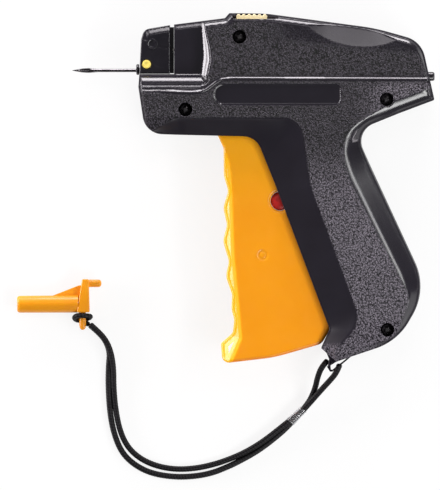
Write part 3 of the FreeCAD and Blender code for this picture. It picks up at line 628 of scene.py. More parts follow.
def grid_between(paths, low, high, pitch):
    """Points of a staggered grid, none of them close to a path."""
    gx, gy = np.meshgrid(np.arange(low[0], high[0], pitch), np.arange(low[1], high[1], pitch))
    gx = gx + (np.arange(gx.shape[0]) % 2)[:, None] * pitch / 2
    keep = np.ones(gx.shape, bool)
    for path, closed in paths:
        ends = np.roll(path, -1, 0) if closed else path[1:]
        for a, b in zip(path, ends):
            count = max(2, int(np.linalg.norm(b - a) / (0.25 * pitch)) + 1)
            for t in np.linspace(0, 1, count):
                p = a + (b - a) * t
                row = int((p[1] - low[1]) / pitch)
                for r in (row, row + 1):
                    if not 0 <= r < gx.shape[0]:
                        continue
                    col = int((p[0] - low[0] - (r % 2) * pitch / 2) / pitch)
                    for c in (col, col + 1):
                        if 0 <= c < gx.shape[1] and math.hypot(
                                gx[r, c] - p[0], gy[r, c] - p[1]) < CLEARANCE * pitch:
                            keep[r, c] = False
    return np.stack([gx[keep], gy[keep]], 1)


def triangulated(paths, grid, outer, holes):
    """Points and triangles that follow the paths, inside outer and outside the holes."""
    points, edges = [], []
    for path, closed in paths:
        first = len(points)
        points += [Vector(p) for p in path]
        last = len(points)
        edges += [(i, i + 1) for i in range(first, last - 1)]
        if closed:
            edges.append((last - 1, first))
    xy, _, faces, _, _, _ = delaunay_2d_cdt(points + [Vector(p) for p in grid], edges, [], 0,
                                            1e-6)
    origin = np.array([(p.x, p.y) for p in xy])
    faces = np.array([f for f in faces if len(f) == 3])
    free = {(round(p.x, 5), round(p.y, 5)) for p in map(Vector, grid)}
    is_free = np.array([(round(p[0], 5), round(p[1], 5)) in free for p in origin])
    doubtful = ~is_free[faces].any(1)
    middle = origin[faces].mean(1)[doubtful]
    good = np.ones(len(faces), bool)
    good[doubtful] = signed(middle, outer) > 0
    for path, _ in holes:
        good[doubtful] &= signed(middle, path) < 0
    faces = faces[good]
    used = np.unique(faces)
    number = np.full(len(origin), -1)
    number[used] = np.arange(len(used))
    faces, origin = number[faces], origin[used]
    a, b, c = (origin[faces[:, k]] for k in range(3))
    flipped = np.cross(b - a, c - a) < 0
    faces[flipped] = faces[flipped][:, ::-1]
    return origin, faces.tolist()


def rims(triangles):
    """The loops of points along the open edges."""
    directed = dict.fromkeys((t[i], t[(i + 1) % 3]) for t in triangles for i in range(3))
    following = {i: j for i, j in directed if (j, i) not in directed}
    loops, left = [], set(following)
    while left:
        loop = [left.pop()]
        while following[loop[-1]] != loop[0]:
            loop.append(following[loop[-1]])
            left.discard(loop[-1])
        loops.append(loop)
    return loops


def outward(loop):
    """At each corner of a loop, the way out that moves its sides by 1."""
    before = loop - np.roll(loop, 1, 0)
    after = np.roll(loop, -1, 0) - loop
    before /= np.linalg.norm(before, axis=1)[:, None]
    after /= np.linalg.norm(after, axis=1)[:, None]
    out = np.stack([before[:, 1] + after[:, 1], -before[:, 0] - after[:, 0]], 1)
    out /= np.maximum(np.linalg.norm(out, axis=1), 1e-6)[:, None]
    half = np.sqrt(np.clip((1 + (before * after).sum(1)) / 2, 0.2, 1))
    return out / half[:, None]


def relief(name, outer, height, features=(), holes=(), edge=0.6, low=0.0, foot=None,
           both=False, pitch=PITCH, rim=0.2):
    """A solid under a height over an outline, with a rounded edge and a straight skirt.

    outer is the outline already inset by the edge's radius. Holes are (path, floor), with
    rim as their edge's radius. foot gives the skirt's lower corners. With both, the solid
    is mirrored below z = 0.
    """
    paths = [(outer, True)] + [(p, True) for p, _ in holes] + list(features)
    grid = grid_between(paths, outer.min(0), outer.max(0), pitch)
    grid = grid[signed(grid, outer) > 0]
    for path, _ in holes:
        grid = grid[signed(grid, path) < 0]
    origin, triangles = triangulated(paths, grid, outer, holes)
    verts = np.column_stack([origin, height(origin)]).tolist()

    for loop in rims(triangles):
        co = np.array([verts[i][:2] for i in loop])
        tops = np.array([verts[i][2] for i in loop])
        area = (co[:, 0] * np.roll(co[:, 1], -1) - np.roll(co[:, 0], -1) * co[:, 1]).sum()
        if area > 0:
            radius, floor = edge, low
        else:
            hole = min(holes, key=lambda h: np.linalg.norm(h[0].mean(0) - co.mean(0)))
            radius, floor = rim, hole[1]
        out = outward(co)
        last = co + out * radius
        end = foot(last) if foot and area > 0 else last
        turns = [k / EDGE_STEPS * math.pi / 2 for k in range(1, EDGE_STEPS + 1)]
        levels = [(co + out * radius * math.sin(a),
                   np.maximum(tops - radius * (1 - math.cos(a)), floor)) for a in turns]
        levels += [(last + (end - last) * share ** 1.6,
                    (tops - radius) + (floor - tops + radius) * share)
                   for share in (0.35, 1.0)]
        upper = loop
        for xy, z in levels:
            lower = range(len(verts), len(verts) + len(loop))
            verts += np.column_stack([xy, z]).tolist()
            triangles += band(lower, upper)
            upper = lower
        if area <= 0 or not both:
            triangles.append(upper)
    if both:
        count = len(verts)
        verts += [[x, y, -z] for x, y, z in verts]
        triangles += [[count + i for i in reversed(t)] for t in triangles]
    return mesh_object(name, verts, triangles)


def smooth_min(a, b, k):
    h = np.clip(0.5 + 0.5 * (b - a) / k, 0, 1)
    return b * (1 - h) + a * h - k * h * (1 - h)


def ramp(x, start, end):
    t = np.clip((x - start) / (end - start), 0, 1)
    return t * t * (3 - 2 * t)


def climb(slopes, total):
    """A height table whose slope runs through (distance, slope) pairs, scaled to total."""
    u = np.linspace(0, slopes[-1][0], 400)
    steep = np.interp(u, [s[0] for s in slopes], [s[1] for s in slopes])
    rise = np.concatenate([[0], np.cumsum((steep[1:] + steep[:-1]) / 2 * np.diff(u))])
    return u, rise * total / rise[-1]


# ---- the body's side -------------------------------------------------------------------
BROW = [(LIP_X, 70.5), (-11.9, 73.2)]    # the silhouette above the slim head
BROW_RISE = 0.128

# Each row: the silhouette's x, y and corner radius, the same for the edge of the flat side,
# and how much of the way to the flat the silhouette has gone at EDGE_HEIGHT.
SIDE = [
    (-47.9, NOSE_FLOOR, 0.0, -46.5, NOSE_FLOOR, 0.0, 0.0),
    (-48.3, NOSE_FLOOR - 5.4, 0.0, -46.8, NOSE_FLOOR - 5.9, 0.0, 0.0),
    (-45.4, 24.7, 8.4, -44.3, 26.0, 7.1, 0.0),
    (-37.9, 24.4, 0.0, -42.0, 25.9, 3.0, 0.0),
    (-32.5, 24.2, 0.0, -32.6, 31.2, 7.0, 0.0),
    (1.1, 23.4, 8.0, 19.6, 31.0, 8.4, 0.0),
    (9.5, 2.5, 0.0, 23.6, 2.7, 0.0, 0.0),
    (32.0, -57.3, 2.5, 44.8, -54.4, 11.0, 0.0),
    (28.4, -65.4, 0.6, 33.9, -67.0, 1.7, 0.0),
    (34.9, -71.1, 0.0, 35.2, -70.0, 0.0, 0.0),
    (60.6, -62.5, 25.2, 59.9, -60.7, 9.2, 0.05),
    (73.2, -40.6, 24.0, 65.8, -43.9, 9.0, 0.05),
    (49.4, 10.7, 0.0, 38.7, 8.1, 37.0, 0.05),
    (42.7, 25.7, 8.0, 37.7, 25.6, 14.0, 0.05),
    (61.2, 33.2, 0.0, 59.4, 38.7, 20.0, 0.0),
    (76.1, 38.8, 0.8, 74.4, 43.9, 0.8, 0.0),
    (70.6, 63.5, 10.9, 69.4, 61.3, 10.1, 0.0),
    (51.1, 69.0, 84.0, 50.7, 66.2, 84.0, 0.0),
    (5.3, 75.1, 63.0, 5.3, 72.1, 63.0, 0.0),
    (-10.1, 75.3, 0.6, -8.2, 72.2, 0.8, 0.0),
    (*BROW[1], 0.8, -10.2, 70.6, 0.8, 0.0),
    (*BROW[0], 0.0, LIP_X + 1.4, 68.0, 0.0, 0.0),
    (LIP_X, NOSE_FLOOR, 0.0, LIP_X + 1.4, NOSE_FLOOR, 0.0, 0.0),
]
flat_rows = [r[3:6] for r in SIDE]
belly_rows = [(r[0] + r[6] * (r[3] - r[0]), r[1] + r[6] * (r[4] - r[1]), r[2]) for r in SIDE]
SILHOUETTE = rounded([r[:3] for r in SIDE])
BELLY = rounded(belly_rows)
FLAT = rounded(flat_rows)
LABEL_ROWS = [(-16.3, 45.1, 3.9), (-16.3, 37.1, 3.9), (36.4, 37.1, 2.1), (36.4, 45.1, 2.1)]
LABEL = rounded(LABEL_ROWS)
LABEL_WALL = (-0.4, 0.1)     # where the recess's wall starts and ends, across its outline
RIDGE = open_curve([(-47.5, 43.1, 0), (-40.4, 42.8, 20), (-33.0, 42.1, 20), (-26.1, 41.8, 14),
                    (-20.7, 42.3, 9), (-14.2, 47.2, 7), (-9.5, 47.75, 6), (80.0, 47.4, 0)])
# The crease between the flat side and the slopes at the rear and under the tail.
CREASE = [(58, -64), (64, -44), (38.7, 8.1), (37.7, 25.6), (59.4, 38.7), (74.4, 43.9)]
CRESCENT_CENTRE, CRESCENT_RADIUS, CRESCENT_FALL = (46.3, 96.5), 35.5, 0.2
ROLL_TOP, ROLL_DEPTH, CORNER_X = 49.4, 7.0, -22.0
STEEP, STEEPER = 10, 40      # slopes that leave a relief at its end

# Slopes across the details: distance, slope.
ROLLS = climb([(0, 3.8), (0.8, 3.2), (1.1, 1.04), (1.7, 0.86), (2.4, 0.68), (3.1, 0.52),
               (3.6, 0.42), (3.8, 0.0), (3.95, -0.9), (4.15, 0.5), (4.4, 0.73), (5.3, 0.61),
               (5.6, -0.1), (5.9, -0.5), (6.2, 0.9), (6.6, 1.2), (ROLL_DEPTH, 0.0)],
              HALF_WIDTH - HEAD_HALF)
TOP_EDGE = climb([(0, 0.0), (0.08, 0.68), (0.40, 0.78), (0.60, 1.4), (0.80, 1.9),
                  (0.86, 4.0), (1.0, 9.5)], HALF_WIDTH - EDGE_HEIGHT)
UNDER_TAIL = climb([(0, 0.0), (0.05, 0.34), (0.36, 0.46), (0.50, 0.58), (0.55, 0.76),
                    (0.86, 0.80), (0.90, 2.8), (1.0, 3.6)], HALF_WIDTH - EDGE_HEIGHT)
WALL_FACET = climb([(0, 0.80), (0.34, 0.84), (0.42, 0.68), (0.74, 0.72), (0.82, 0.86),
                    (1.0, 0.90)], 0.79)
# Distances across the ridge, and how high it stands there.
BEAD = ([-1.2, -0.85, -0.6, -0.3, -0.05, 0.15, 0.95, 1.15, 1.4, 1.9],
        [0.0, -0.14, -0.20, 0.02, 0.12, 0.06, -0.60, -0.68, -0.64, -0.5])


def table(lookup, x):
    return np.interp(x, lookup[0], lookup[1])


def straight_slopes(xy):
    """Straight slopes down to the silhouette, and the share of the way to it."""
    w = signed(xy, FLAT)
    reach = np.maximum(signed(xy, BELLY) - w, 0.5)
    return HALF_WIDTH + (HALF_WIDTH - EDGE_HEIGHT) * w / reach, np.clip(-w / reach, 0, 1)


def slope_height(xy):
    """The side and its slopes down to the silhouette."""
    z, share = straight_slopes(xy)
    tail = gap_to(xy, CREASE[3:])
    k = 0.3 + 1.1 * (1 - ramp(gap_to(xy, CREASE), 2.0, 7.0)) + 1.9 * (1 - ramp(tail, 3.0, 10.0))
    z = smooth_min(z, HALF_WIDTH, k)
    under = HALF_WIDTH - table(UNDER_TAIL, share)
    z = z + (under - z) * (1 - ramp(tail, 4.0, 7.0)) * ramp(xy[:, 1], 20.0, 29.0)
    top = HALF_WIDTH - table(TOP_EDGE, share)
    return z + (top - z) * ramp(xy[:, 1], 56.0, 62.0)


def scoop_sides(y):
    """The x of the foot and of the top of the wall behind the head."""
    return (np.interp(y, [49.4, 57.7, 66.9, 72], [CORNER_X, -21.1, -21.76, -22.0]),
            np.interp(y, [49.4, 55.6, 62, 68.2, 72], [-18.9, -17.35, -18.3, -19.87, -20.6]))


def wall_height(along, width):
    """A wide facet at the foot of the wall, then a steep part with a rounded top."""
    total = HALF_WIDTH - UPPER_STEP - HEAD_HALF
    foot, facet, top = 0.12, 0.74 * width, 0.94 * width
    t = np.clip((along - foot) / facet, 0, 1)
    low = facet * table(WALL_FACET, t)
    t = np.clip((along - foot - facet) / (top - facet - foot), 0, 1)
    steep = np.where(t < 0.8, t * 1.125, 1 - 2.5 * (1 - t) ** 2)
    return (low + (total - facet * WALL_FACET[1][-1]) * steep
            + np.maximum(along - width, 0) * STEEP)


def roll_height(down):
    return table(ROLLS, down) + np.maximum(down - ROLL_DEPTH, 0) * STEEPER


def scoop_height(xy):
    """The floor beside the slim head, the wall behind it and the rolls below it."""
    x, y = xy.T
    left, right = scoop_sides(y)
    wall = wall_height(x - left, right - left)
    down = ROLL_TOP - y
    arm = np.hypot(x - CORNER_X, down)
    angle = np.degrees(np.arctan2(down, x - CORNER_X))
    b = ramp(angle, 42, 72)
    corner = (wall_height(arm, 3.1 + 1.5 * ramp(angle, 0, 46)) * (1 - b)
              + roll_height(arm * 1.05) * b)
    z = np.where(y > ROLL_TOP, wall, np.where(x < CORNER_X, roll_height(down), corner))
    floor = 0.68 * (gap_to(xy, BROW) - 2.1) + STEEP * np.maximum(x - left, 0)
    return HEAD_HALF + smooth_min(z, floor, 0.15)


def facet_height(xy):
    r = np.hypot(xy[:, 0] - CRESCENT_CENTRE[0], xy[:, 1] - CRESCENT_CENTRE[1])
    return HALF_WIDTH - UPPER_STEP - CRESCENT_FALL * (CRESCENT_RADIUS - r)


def side_height(xy, label):
    """One side of the body; only the near one has the label's recess."""
    z = slope_height(xy)
    z = z + np.interp(beside(xy, RIDGE), *BEAD) * ramp(xy[:, 0], -47.0, -40.0)
    z = smooth_min(z, facet_height(xy), 0.06)
    if label:
        z = z - LABEL_DEPTH * ramp(signed(xy, LABEL), *LABEL_WALL)
    return smooth_min(z, scoop_height(xy), 0.12)


def core_side(xy):
    """A height well under the side's surface."""
    z = np.minimum(np.minimum(straight_slopes(xy)[0], HALF_WIDTH), facet_height(xy))
    z = z - UPPER_STEP * (beside(xy, RIDGE) > -1.0) - CORE_DEPTH
    by_the_head = (xy[:, 0] < -16.0) & (xy[:, 1] > 41.5)
    return np.where(by_the_head, np.minimum(z, HEAD_HALF - CORE_DEPTH), z)


def offset_curve(path, gap):
    way = np.gradient(path, axis=0)
    way /= np.linalg.norm(way, axis=1)[:, None]
    return path + np.stack([-way[:, 1], way[:, 0]], 1) * gap


def side_features(label):
    """Lines that the side's triangles follow, so that its creases stay crisp."""
    lines = []

    def follow(paths, closed=False):
        lines.extend((path, closed) for path in paths)

    follow([RIDGE[1:-1]])
    follow(offset_curve(RIDGE, gap)[2:-2]
           for gap in (-0.85, -0.6, -0.3, 0.15, 0.55, 0.95, 1.2))
    follow([FLAT, rounded(inset(flat_rows, 0.7))], True)
    follow(open_curve([(f[0] + t * (b[0] - f[0]), f[1] + t * (b[1] - f[1]), b[2])
                       for f, b in zip(flat_rows[15:22], belly_rows[15:22])])[1:-1]
           for t in (0.08, 0.28, 0.45, 0.53, 0.80, 0.87))
    if label:
        follow([rounded(inset(LABEL_ROWS, gap)) for gap in LABEL_WALL], True)
    a = np.radians(np.arange(180, 361, 0.8))
    arc = np.stack([CRESCENT_CENTRE[0] + CRESCENT_RADIUS * np.cos(a),
                    CRESCENT_CENTRE[1] + CRESCENT_RADIUS * np.sin(a)], 1)
    follow([arc[signed(arc, SILHOUETTE) > 0.1]])
    y = np.arange(ROLL_TOP, 71.5, 0.5)
    left, right = scoop_sides(y)
    follow(np.stack([left + t * (right - left), y], 1)
           for t in (0.0, 0.06, 0.68, 0.74, 0.90, 0.94, 1.0))
    x = np.arange(LIP_X + 0.4, CORNER_X - 0.3, 0.5)
    y = BROW[0][1] + BROW_RISE * (x - LIP_X)
    follow([np.stack([x, y - gap], 1) for gap in (1.95, 2.35)])
    turn = np.radians(np.arange(0, 91, 6.0))
    follow(np.stack([CORNER_X + r * np.cos(turn), ROLL_TOP - r * np.sin(turn)], 1)
           for r in (0.25, 0.9, 1.2, 2.2, 3.1, 3.6, 4.0))
    x = np.arange(-47.2, CORNER_X, 0.5)
    follow([np.stack([x, np.full(len(x), ROLL_TOP - gap)], 1) for gap in
            (0.25, 0.85, 1.15, 2.1, 3.1, 3.75, 3.95, 4.2, 5.35, 5.9, 6.3, 6.8)])
    return lines


def inside_of(node, core):
    """What the CAD piece leaves empty within the core."""
    shape = in_scene("shape", frame["nodes"][node].data.copy())
    weld(shape.data, 1e-6, outwards=False)
    return cut(core, shape)


def mirror(obj):
    """The object on the other side of the parting plane."""
    co = places(obj.data)
    co[:, 2] = 2 * LIFT - co[:, 2]
    obj.data.vertices.foreach_set("co", (co * MM).ravel())
    obj.data.flip_normals()
    obj.data.update()
    return obj


def cord_hole():
    return drill("cord_hole", 1.35, 4.8, (30.0, -69.9, 0), (4.6, -1.4, 0), 32)


def shell(name, node, label):
    """One shell: its relief, its inside from the CAD piece, and its openings."""
    recess = SCREW_RECESS + SCREW_RIM
    holes = [(circle(p, recess), SCREW_SEAT) for p in SCREWS] if label else []
    body = relief(name, rounded(inset(belly_rows, SIDE_EDGE)),
                  lambda xy: side_height(xy, label), side_features(label), holes, SIDE_EDGE,
                  SEAM, lambda p: distance(p, SILHOUETTE)[1], rim=SCREW_RIM)
    core = relief("core", rounded(inset(belly_rows, CORE_INSET), 1.5), core_side, edge=0.2,
                  low=-1.0, pitch=1.5)
    if not label:
        mirror(core)
        mirror(body)
    mouth = [(-30, 18), (-16.9, 18), (0, 18), (8, 0), (27, -68), (31, -68), (38.5, -60),
             (38.5, -50), (6, 31), (-16.9, 31)]
    front = [(-30, 18), (-30, -68), (27, -68), (8, 0), (0, 18)]
    cut(body, inside_of(node, core),
        prism("mouth", mouth, -MOUTH_HALF, MOUTH_HALF),
        prism("front", front, -MOUTH_HALF, MOUTH_HALF),
        box("slider_room", SLIDER_SLOT_X, (72.0, 80.0), (-5.3, 5.3)),
        box("slider_notch", SLIDER_SLOT_X, (72.9, 80.0), (0, 20)),
        box("window", (LIP_X - 1, LIP_X + 2.5), (BARREL_Y + 4.0, BARREL_Y + 13.2), (-2.4, 2.4)),
        drill("rod_hole", 0.43, 3.0, (LIP_X - 0.7, BARREL_Y, 0), (1, 0, 0), 24),
        drill("stop_hole", 1.92, 12, (68, 48.7, 0), (1, 0, 0), 40), cord_hole())
    return body


def grain_share(xy):
    """Where the shells carry their pebble grain, from 0 to 1."""
    x, y = xy.T
    start = np.where(x < -20, -0.2 - 1.2 * (1 - ramp(x, -44, -41)),
                     0.1 - 0.5 * (1 - ramp(gap_to(xy, CREASE), 2.0, 5.0)))
    share = ramp(signed(xy, FLAT), start, start + 0.8)
    share = np.maximum(share, ramp(-y, 62.5, 66.0))
    share *= 1 - ramp(signed(xy, LABEL), -0.7, -0.4)
    share *= 1 - ramp(HALF_WIDTH - UPPER_STEP - facet_height(xy), -0.1, 0.15)
    share *= ramp(scoop_height(xy) - HALF_WIDTH, -0.6, 0.6)
    bead = beside(xy, RIDGE)
    share *= 1 - ramp(bead, -1.1, -0.7) * (1 - ramp(bead, 1.2, 1.6))
    return share * (1 - 0.8 * ramp(x * 0.1 + y, 62.5, 68.0) * ramp(x, 2.0, 20.0))


def grain(mesh):
    """Writes where the shell is grained and matt, and where its grain is painted paler as
    painted light.
    """
    co = places(mesh)
    xy, (x, y, z) = co[:, :2], co.T
    outside = np.abs(z - LIFT) > 9.0
    share = np.zeros(len(co))
    share[outside] = grain_share(xy[outside])
    rim = 1 - ramp(signed(xy, BELLY), 0.6, 1.3)
    heel = ramp(-y, 52.0, 60.0)
    chin = ramp(-y, -33.0, -29.0) * (1 - ramp(x, -30.0, -22.0))
    panel = (1 - ramp(signed(xy, FLAT), -0.5, 0.2)) * (1 - ramp(y, 30.0, 32.0))
    panel *= 0.8 * ramp(gap_to(xy, CREASE), 7.0, 10.0)
    write(mesh, "grain", share)
    write(mesh, "matt", np.maximum.reduce([rim, heel, chin, panel]))
    # Painted light: the grain on the handle and on the rear below the tail is painted paler, as
    # if lit more.
    write(mesh, "painted_lit_grain", np.maximum(1 - ramp(y, -5.0, 24.0),
                                   ramp(x, 40.0, 60.0) * (1 - ramp(y, 44.0, 48.0))))


def dress(obj, body, slot, *nodes, angle=32, finish=None):
    """Shades a piece, gives it its finish and body, and lets it stand for CAD nodes."""
    smooth(obj, angle)
    obj.data.materials.clear()
    obj.data.materials.append(finishes[finish or slot])
    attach(obj, body)
    if nodes:
        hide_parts(*nodes)
    return obj


def heel_lug(name, side):
    """The ribbed lug at the heel and the slender bar that the cord goes round."""
    outer = [(41.5, -68.6), (36.8, -72.6), (33.2, -75.3), (32.2, -75.3), (30.9, -73.2),
             (33.0, -70.5), (41.0, -67.0)]
    slot = [(39.9, -69.75), (36.5, -71.75), (33.2, -74.5), (32.6, -74.4), (32.4, -72.7),
            (34.9, -71.15), (39.0, -69.75)]
    block = [(29.9, -65.5), (31.8, -70.0), (31.2, -73.3), (35.4, -70.9), (38.0, -66.0)]

    def half(width):
        return (SEAM, width) if side > 0 else (-width, -SEAM)

    bar = prism(name, outer, *half(1.2))
    cut(bar, prism("slot", slot, -3.0, 3.0))
    soften(bar, 0.15, 2)
    lug = prism("lug", block, *half(8.8))
    soften(lug, 0.5, 3)
    groove = rectangle((-1.375, 1.375), (-0.22, 0.22))
    for k in range(3):
        middle = np.array([32.6 + 0.95 * k, -71.6 + 0.6 * k])
        path = [middle + turned(corner, math.radians(-58)) for corner in groove]
        cut(lug, prism("groove", path, 7.4 * side - 1.6, 7.4 * side + 1.6))
    cut(lug, cord_hole())
    return join(bar, lug)


def shells():
    for side, node, label in ((1, "left_shell", True), (-1, "right_shell", False)):
        body = shell(node + "_moulding", node, label)
        join(body, heel_lug("heel_bar", side))
        grain(body.data)
        dress(body, "housing", "charcoal_plastic", node)


# ---- trigger ---------------------------------------------------------------------------
TRIGGER = [
    (-1.1, 33.0, 4.0), (-10.0, 33.0, 4.0), (-15.2, 24.4, 1.0), (-12.5, 18.6, 4.0),
    (-12.4, 7.0, 9.0), (-10.5, 0.6, 5.0), (-12.7, -6.6, 7.0), (-11.0, -13.7, 5.0),
    (-12.8, -20.4, 7.0), (-10.2, -29.1, 5.0), (-11.6, -35.2, 7.0), (-8.9, -42.9, 5.0),
    (-9.2, -49.0, 7.0), (-8.0, -53.4, 6.0), (-8.6, -59.0, 3.0), (-13.6, -63.4, 0.8),
    (-13.0, -71.9, 3.0), (9.0, -69.3, 60.0), (28.7, -63.6, 4.5), (33.3, -55.6, 4.0),
    (32.5, -49.5, 1.5), (4.4, 19.5, 8.0),
]
# The crease between the trigger's flat side and its facet along the fingers.
FINGER_CREASE = open_curve([(-22.0, 36.0, 0), (-13.8, 23.0, 8), (-9.5, 12.5, 30),
                            (-8.6, 0.0, 90), (-7.7, -26.0, 120), (-5.4, -50.0, 60),
                            (-4.4, -61.5, 3.0), (-10.5, -76.0, 0)], out=(-400, 0))


def trigger_height(xy):
    """Flat side with two facets along the fingers and the pin's round mark."""
    out = np.maximum(-beside(xy, FINGER_CREASE), 0.0)
    z = TRIGGER_HALF - 0.50 * out - 0.36 * np.maximum(out - 1.7, 0)
    z = smooth_min(z, np.full(len(z), TRIGGER_HALF), 0.12)
    r = np.hypot(xy[:, 0] - LINK_PIN[0], xy[:, 1] - LINK_PIN[1])
    z -= 0.34 * (1 - ramp(r, 1.75, 2.45)) - 0.26 * (1 - ramp(r, 0.9, 1.7))
    return z


def painted_light_shade(mesh):
    """Writes a vertex value of painted light and shade: painted light towards the top and on the
    facet along the fingers, painted shade along the lower edge, slightly darker towards the
    bottom.
    """
    xy = places(mesh)[:, :2]
    # Painted light towards the top, slightly darker towards the bottom.
    value = 0.46 + 0.26 * ramp(xy[:, 1], -20, 28) - 0.06 * ramp(-xy[:, 1], 20, 60)
    out = -beside(xy, FINGER_CREASE)
    # Painted highlight on the facet along the fingers.
    value += (1.0 - value) * ramp(out, 0.0, 0.5)
    low = gap_to(xy, [(-13, -72), (9, -69.6), (28.7, -63.9)])
    # Painted shade along the lower edge.
    value -= 0.5 * (1 - ramp(low, 0.3, 1.6)) * (1 - ramp(out, 0.5, 1.5))
    write(mesh, "painted_light_shade", value)


def trigger():
    edge = 1.25
    marks = [(circle(LINK_PIN, r, 0.3), True) for r in (0.9, 1.3, 1.7, 2.1, 2.5)]
    lines = [(offset_curve(FINGER_CREASE, g)[4:-4], False) for g in (-1.7, -0.2, 0.2)]
    notch = (circle(BUFFER, BUFFER_RADIUS + 0.05 + edge), 0.0)
    body = relief("trigger_moulding", rounded(inset(TRIGGER, edge)), trigger_height,
                  marks + lines, [notch], edge, both=True)
    lower = inset(TRIGGER, 3.0)[3:18]
    room = [(30.0, 15.0, 0), (-8.6, 15.0, 2.0)] + lower + [(26.8, -60.4, 2.0), (60, -50, 0)]
    cut(body, prism("room", rounded(room), -5.0, 5.0),
        prism("pivot", circle((-5.6, 28.3), 2.05, 0.25), -20, 20),
        prism("pin", circle(LINK_PIN, 2.02, 0.25), -6.2, 6.2))
    painted_light_shade(body.data)
    dress(body, "trigger_body", "orange_plastic", "trigger", angle=50)

    pin = lathe("trigger_link_pin_turned", [(0, 0), (0, 1.7), (0.3, 2.0), (11.9, 2.0),
                                            (12.2, 1.7), (12.2, 0)],
                (*LINK_PIN, -6.1), (0, 0, 1))
    dress(pin, "trigger_body", "orange_plastic", "trigger_link_pin")
    end = TRIGGER_HALF - 0.35
    dome = [(0, 0), (0.0, 1.4), (0.18, 2.6), (0.5, 3.4), (1.1, 3.85), (1.9, BUFFER_RADIUS)]
    profile = dome + [(2 * end - a, r) for a, r in reversed(dome)]
    roll = lathe("trigger_buffer_roll", profile, (*BUFFER, -end), (0, 0, 1), 64)
    dress(roll, "trigger_body", "red_rubber", "trigger_buffer", angle=60)


# ---- head ------------------------------------------------------------------------------
NOSE = [
    (NOSE_REAR_X, NOSE_FLOOR + 0.1, 0.0), (NOSE_REAR_X, 70.3, 0.0), (-42.1, 69.1, 0.0),
    (-45.9, 68.4, 3.4), (-47.2, 64.0, 2.5), (-47.9, NOSE_FLOOR + 0.1, 0.0),
]
NOSE_TOP = open_curve(NOSE[:0:-1])


def nose_height(xy):
    """The head's side, with a soft shoulder along its top and front."""
    d = gap_to(xy, NOSE_TOP)
    shoulder = 0.9 + 1.6 * ramp(xy[:, 0] + 0.25 * (xy[:, 1] - 64), -46.5, -44.5)
    z = smooth_min(np.full(len(d), HEAD_HALF), HEAD_HALF - 0.69 * (shoulder - d), 0.2)
    for x, y, r in ((-38.5, 57.0, 4.2), (-37.4, 63.0, 2.6)):
        ring = np.hypot(xy[:, 0] - x, xy[:, 1] - y)
        z -= 0.04 * np.exp(-((ring - r) / 0.3) ** 2)
    return z


def nose():
    edge = 0.55
    lines = [(offset_curve(NOSE_TOP, g)[6:-6], False) for g in (1.9, 2.3)]
    body = relief("nose_block_moulding", rounded(inset(NOSE, edge), 0.3), nose_height, lines,
                  [], edge, both=True, pitch=PITCH * 0.8)
    boss = lathe("boss", [(0, 0), (0, 2.4), (1.0, 2.4), (1.22, 2.3), (1.3, 2.1), (1.3, 1.75),
                          (1.18, 1.55), (1.05, 1.2), (1.02, 0)],
                 (-42.6, 62.4, HEAD_HALF - 1.05), (0, 0, 1), 56)
    web = box("web", (NOSE_REAR_X - 0.6, LIP_X - 0.06), (NOSE_FLOOR + 0.3, 69.4), (-7.1, -5.9))
    join(body, boss, web)
    under, half = NOSE_FLOOR - 1, 1.4
    recess = [(0, 0), (0, 1.35), (7.2, 1.35), (7.2, 1.85), (10.35, 1.85), (10.6, 2.0),
              (10.72, 2.2), (12.2, 2.2), (12.2, 0)]
    cut(body,
        box("stem_room", (-50, -30), (under, BARREL_Y + 1.4), (-half, half)),
        box("lug_room", (-50, -42.1), (under, BARREL_Y + 2.4), (-half, half)),
        lathe("button_room", recess, (*BUTTON, -3.2), (0, 0, 1), 48),
        box("blade_room", (-35.52, -34), (under, BARREL_Y + 3.85), (-3.05, 3.05)))
    dress(body, "housing", "smooth_black_plastic", "nose_block", angle=40)

    cap = [(0, 0), (0, 1.3), (0.9, 1.3), (0.9, 0.45), (3.6, 0.45), (3.6, 0.9), (6.8, 0.9),
           (6.8, 1.8), (8.95, 1.8), (9.2, 1.72), (9.3, 1.5), (9.3, 1.0), (9.16, 0.8),
           (9.12, 0.0)]
    button = lathe("needle_lock_button_cap", cap, (*BUTTON, -1.4), (0, 0, 1), 56)
    dress(button, "button_body", "yellow_plastic", "needle_lock_button", angle=40)

    collar = lathe("needle_base_seat", [(0, 0), (0, 1.8), (0.25, 2.2), (0.5, 2.3), (0.85, 2.3),
                                        (1.1, 2.2), (1.25, 1.9), (1.25, 0)],
                   (-49.2, BARREL_Y + 0.4, 0), (1, 0, 0))
    stem = box("stem", (-48.2, -38.0), (BARREL_Y - 1.2, BARREL_Y + 1.2), (-1.2, 1.2))
    lug = box("lug", (-43.4, -42.4), (BARREL_Y - 0.7, BARREL_Y + 2.1), (-1.2, 1.2))
    soften(stem, 0.12, 2)
    soften(lug, 0.1, 2)
    join(collar, stem, lug)
    cut(collar, box("notch", (-49.6, -48.3), (BARREL_Y + 0.1, BARREL_Y + 0.9), (1.3, 3.0)),
        drill("bore", 0.72, 20, (-55, BARREL_Y, 0), (1, 0, 0), 32))
    dress(collar, "housing", "smooth_black_plastic", "needle_base", angle=40)


def button_spring():
    """The coil under the lock button, which the button presses on as it goes in."""
    low, high, radius, wire, turns = 4.16, 5.24, 1.37, 0.13, 3.0
    steps, count = 90, 10
    verts = []
    for i in range(steps + 1):
        a = 2 * math.pi * turns * i / steps
        for k in range(count):
            b = 2 * math.pi * k / count
            r = radius + wire * math.cos(b)
            verts.append((BUTTON[0] + r * math.cos(a), BUTTON[1] + r * math.sin(a),
                          low + (high - low) * i / steps + wire * math.sin(b)))
    coil = mesh_object("lock_button_coil", verts,
                       skin([range(i, i + count) for i in range(0, len(verts), count)]))
    dress(coil, "housing", "spring_steel", "lock_button_spring", angle=60)
    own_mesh(coil)


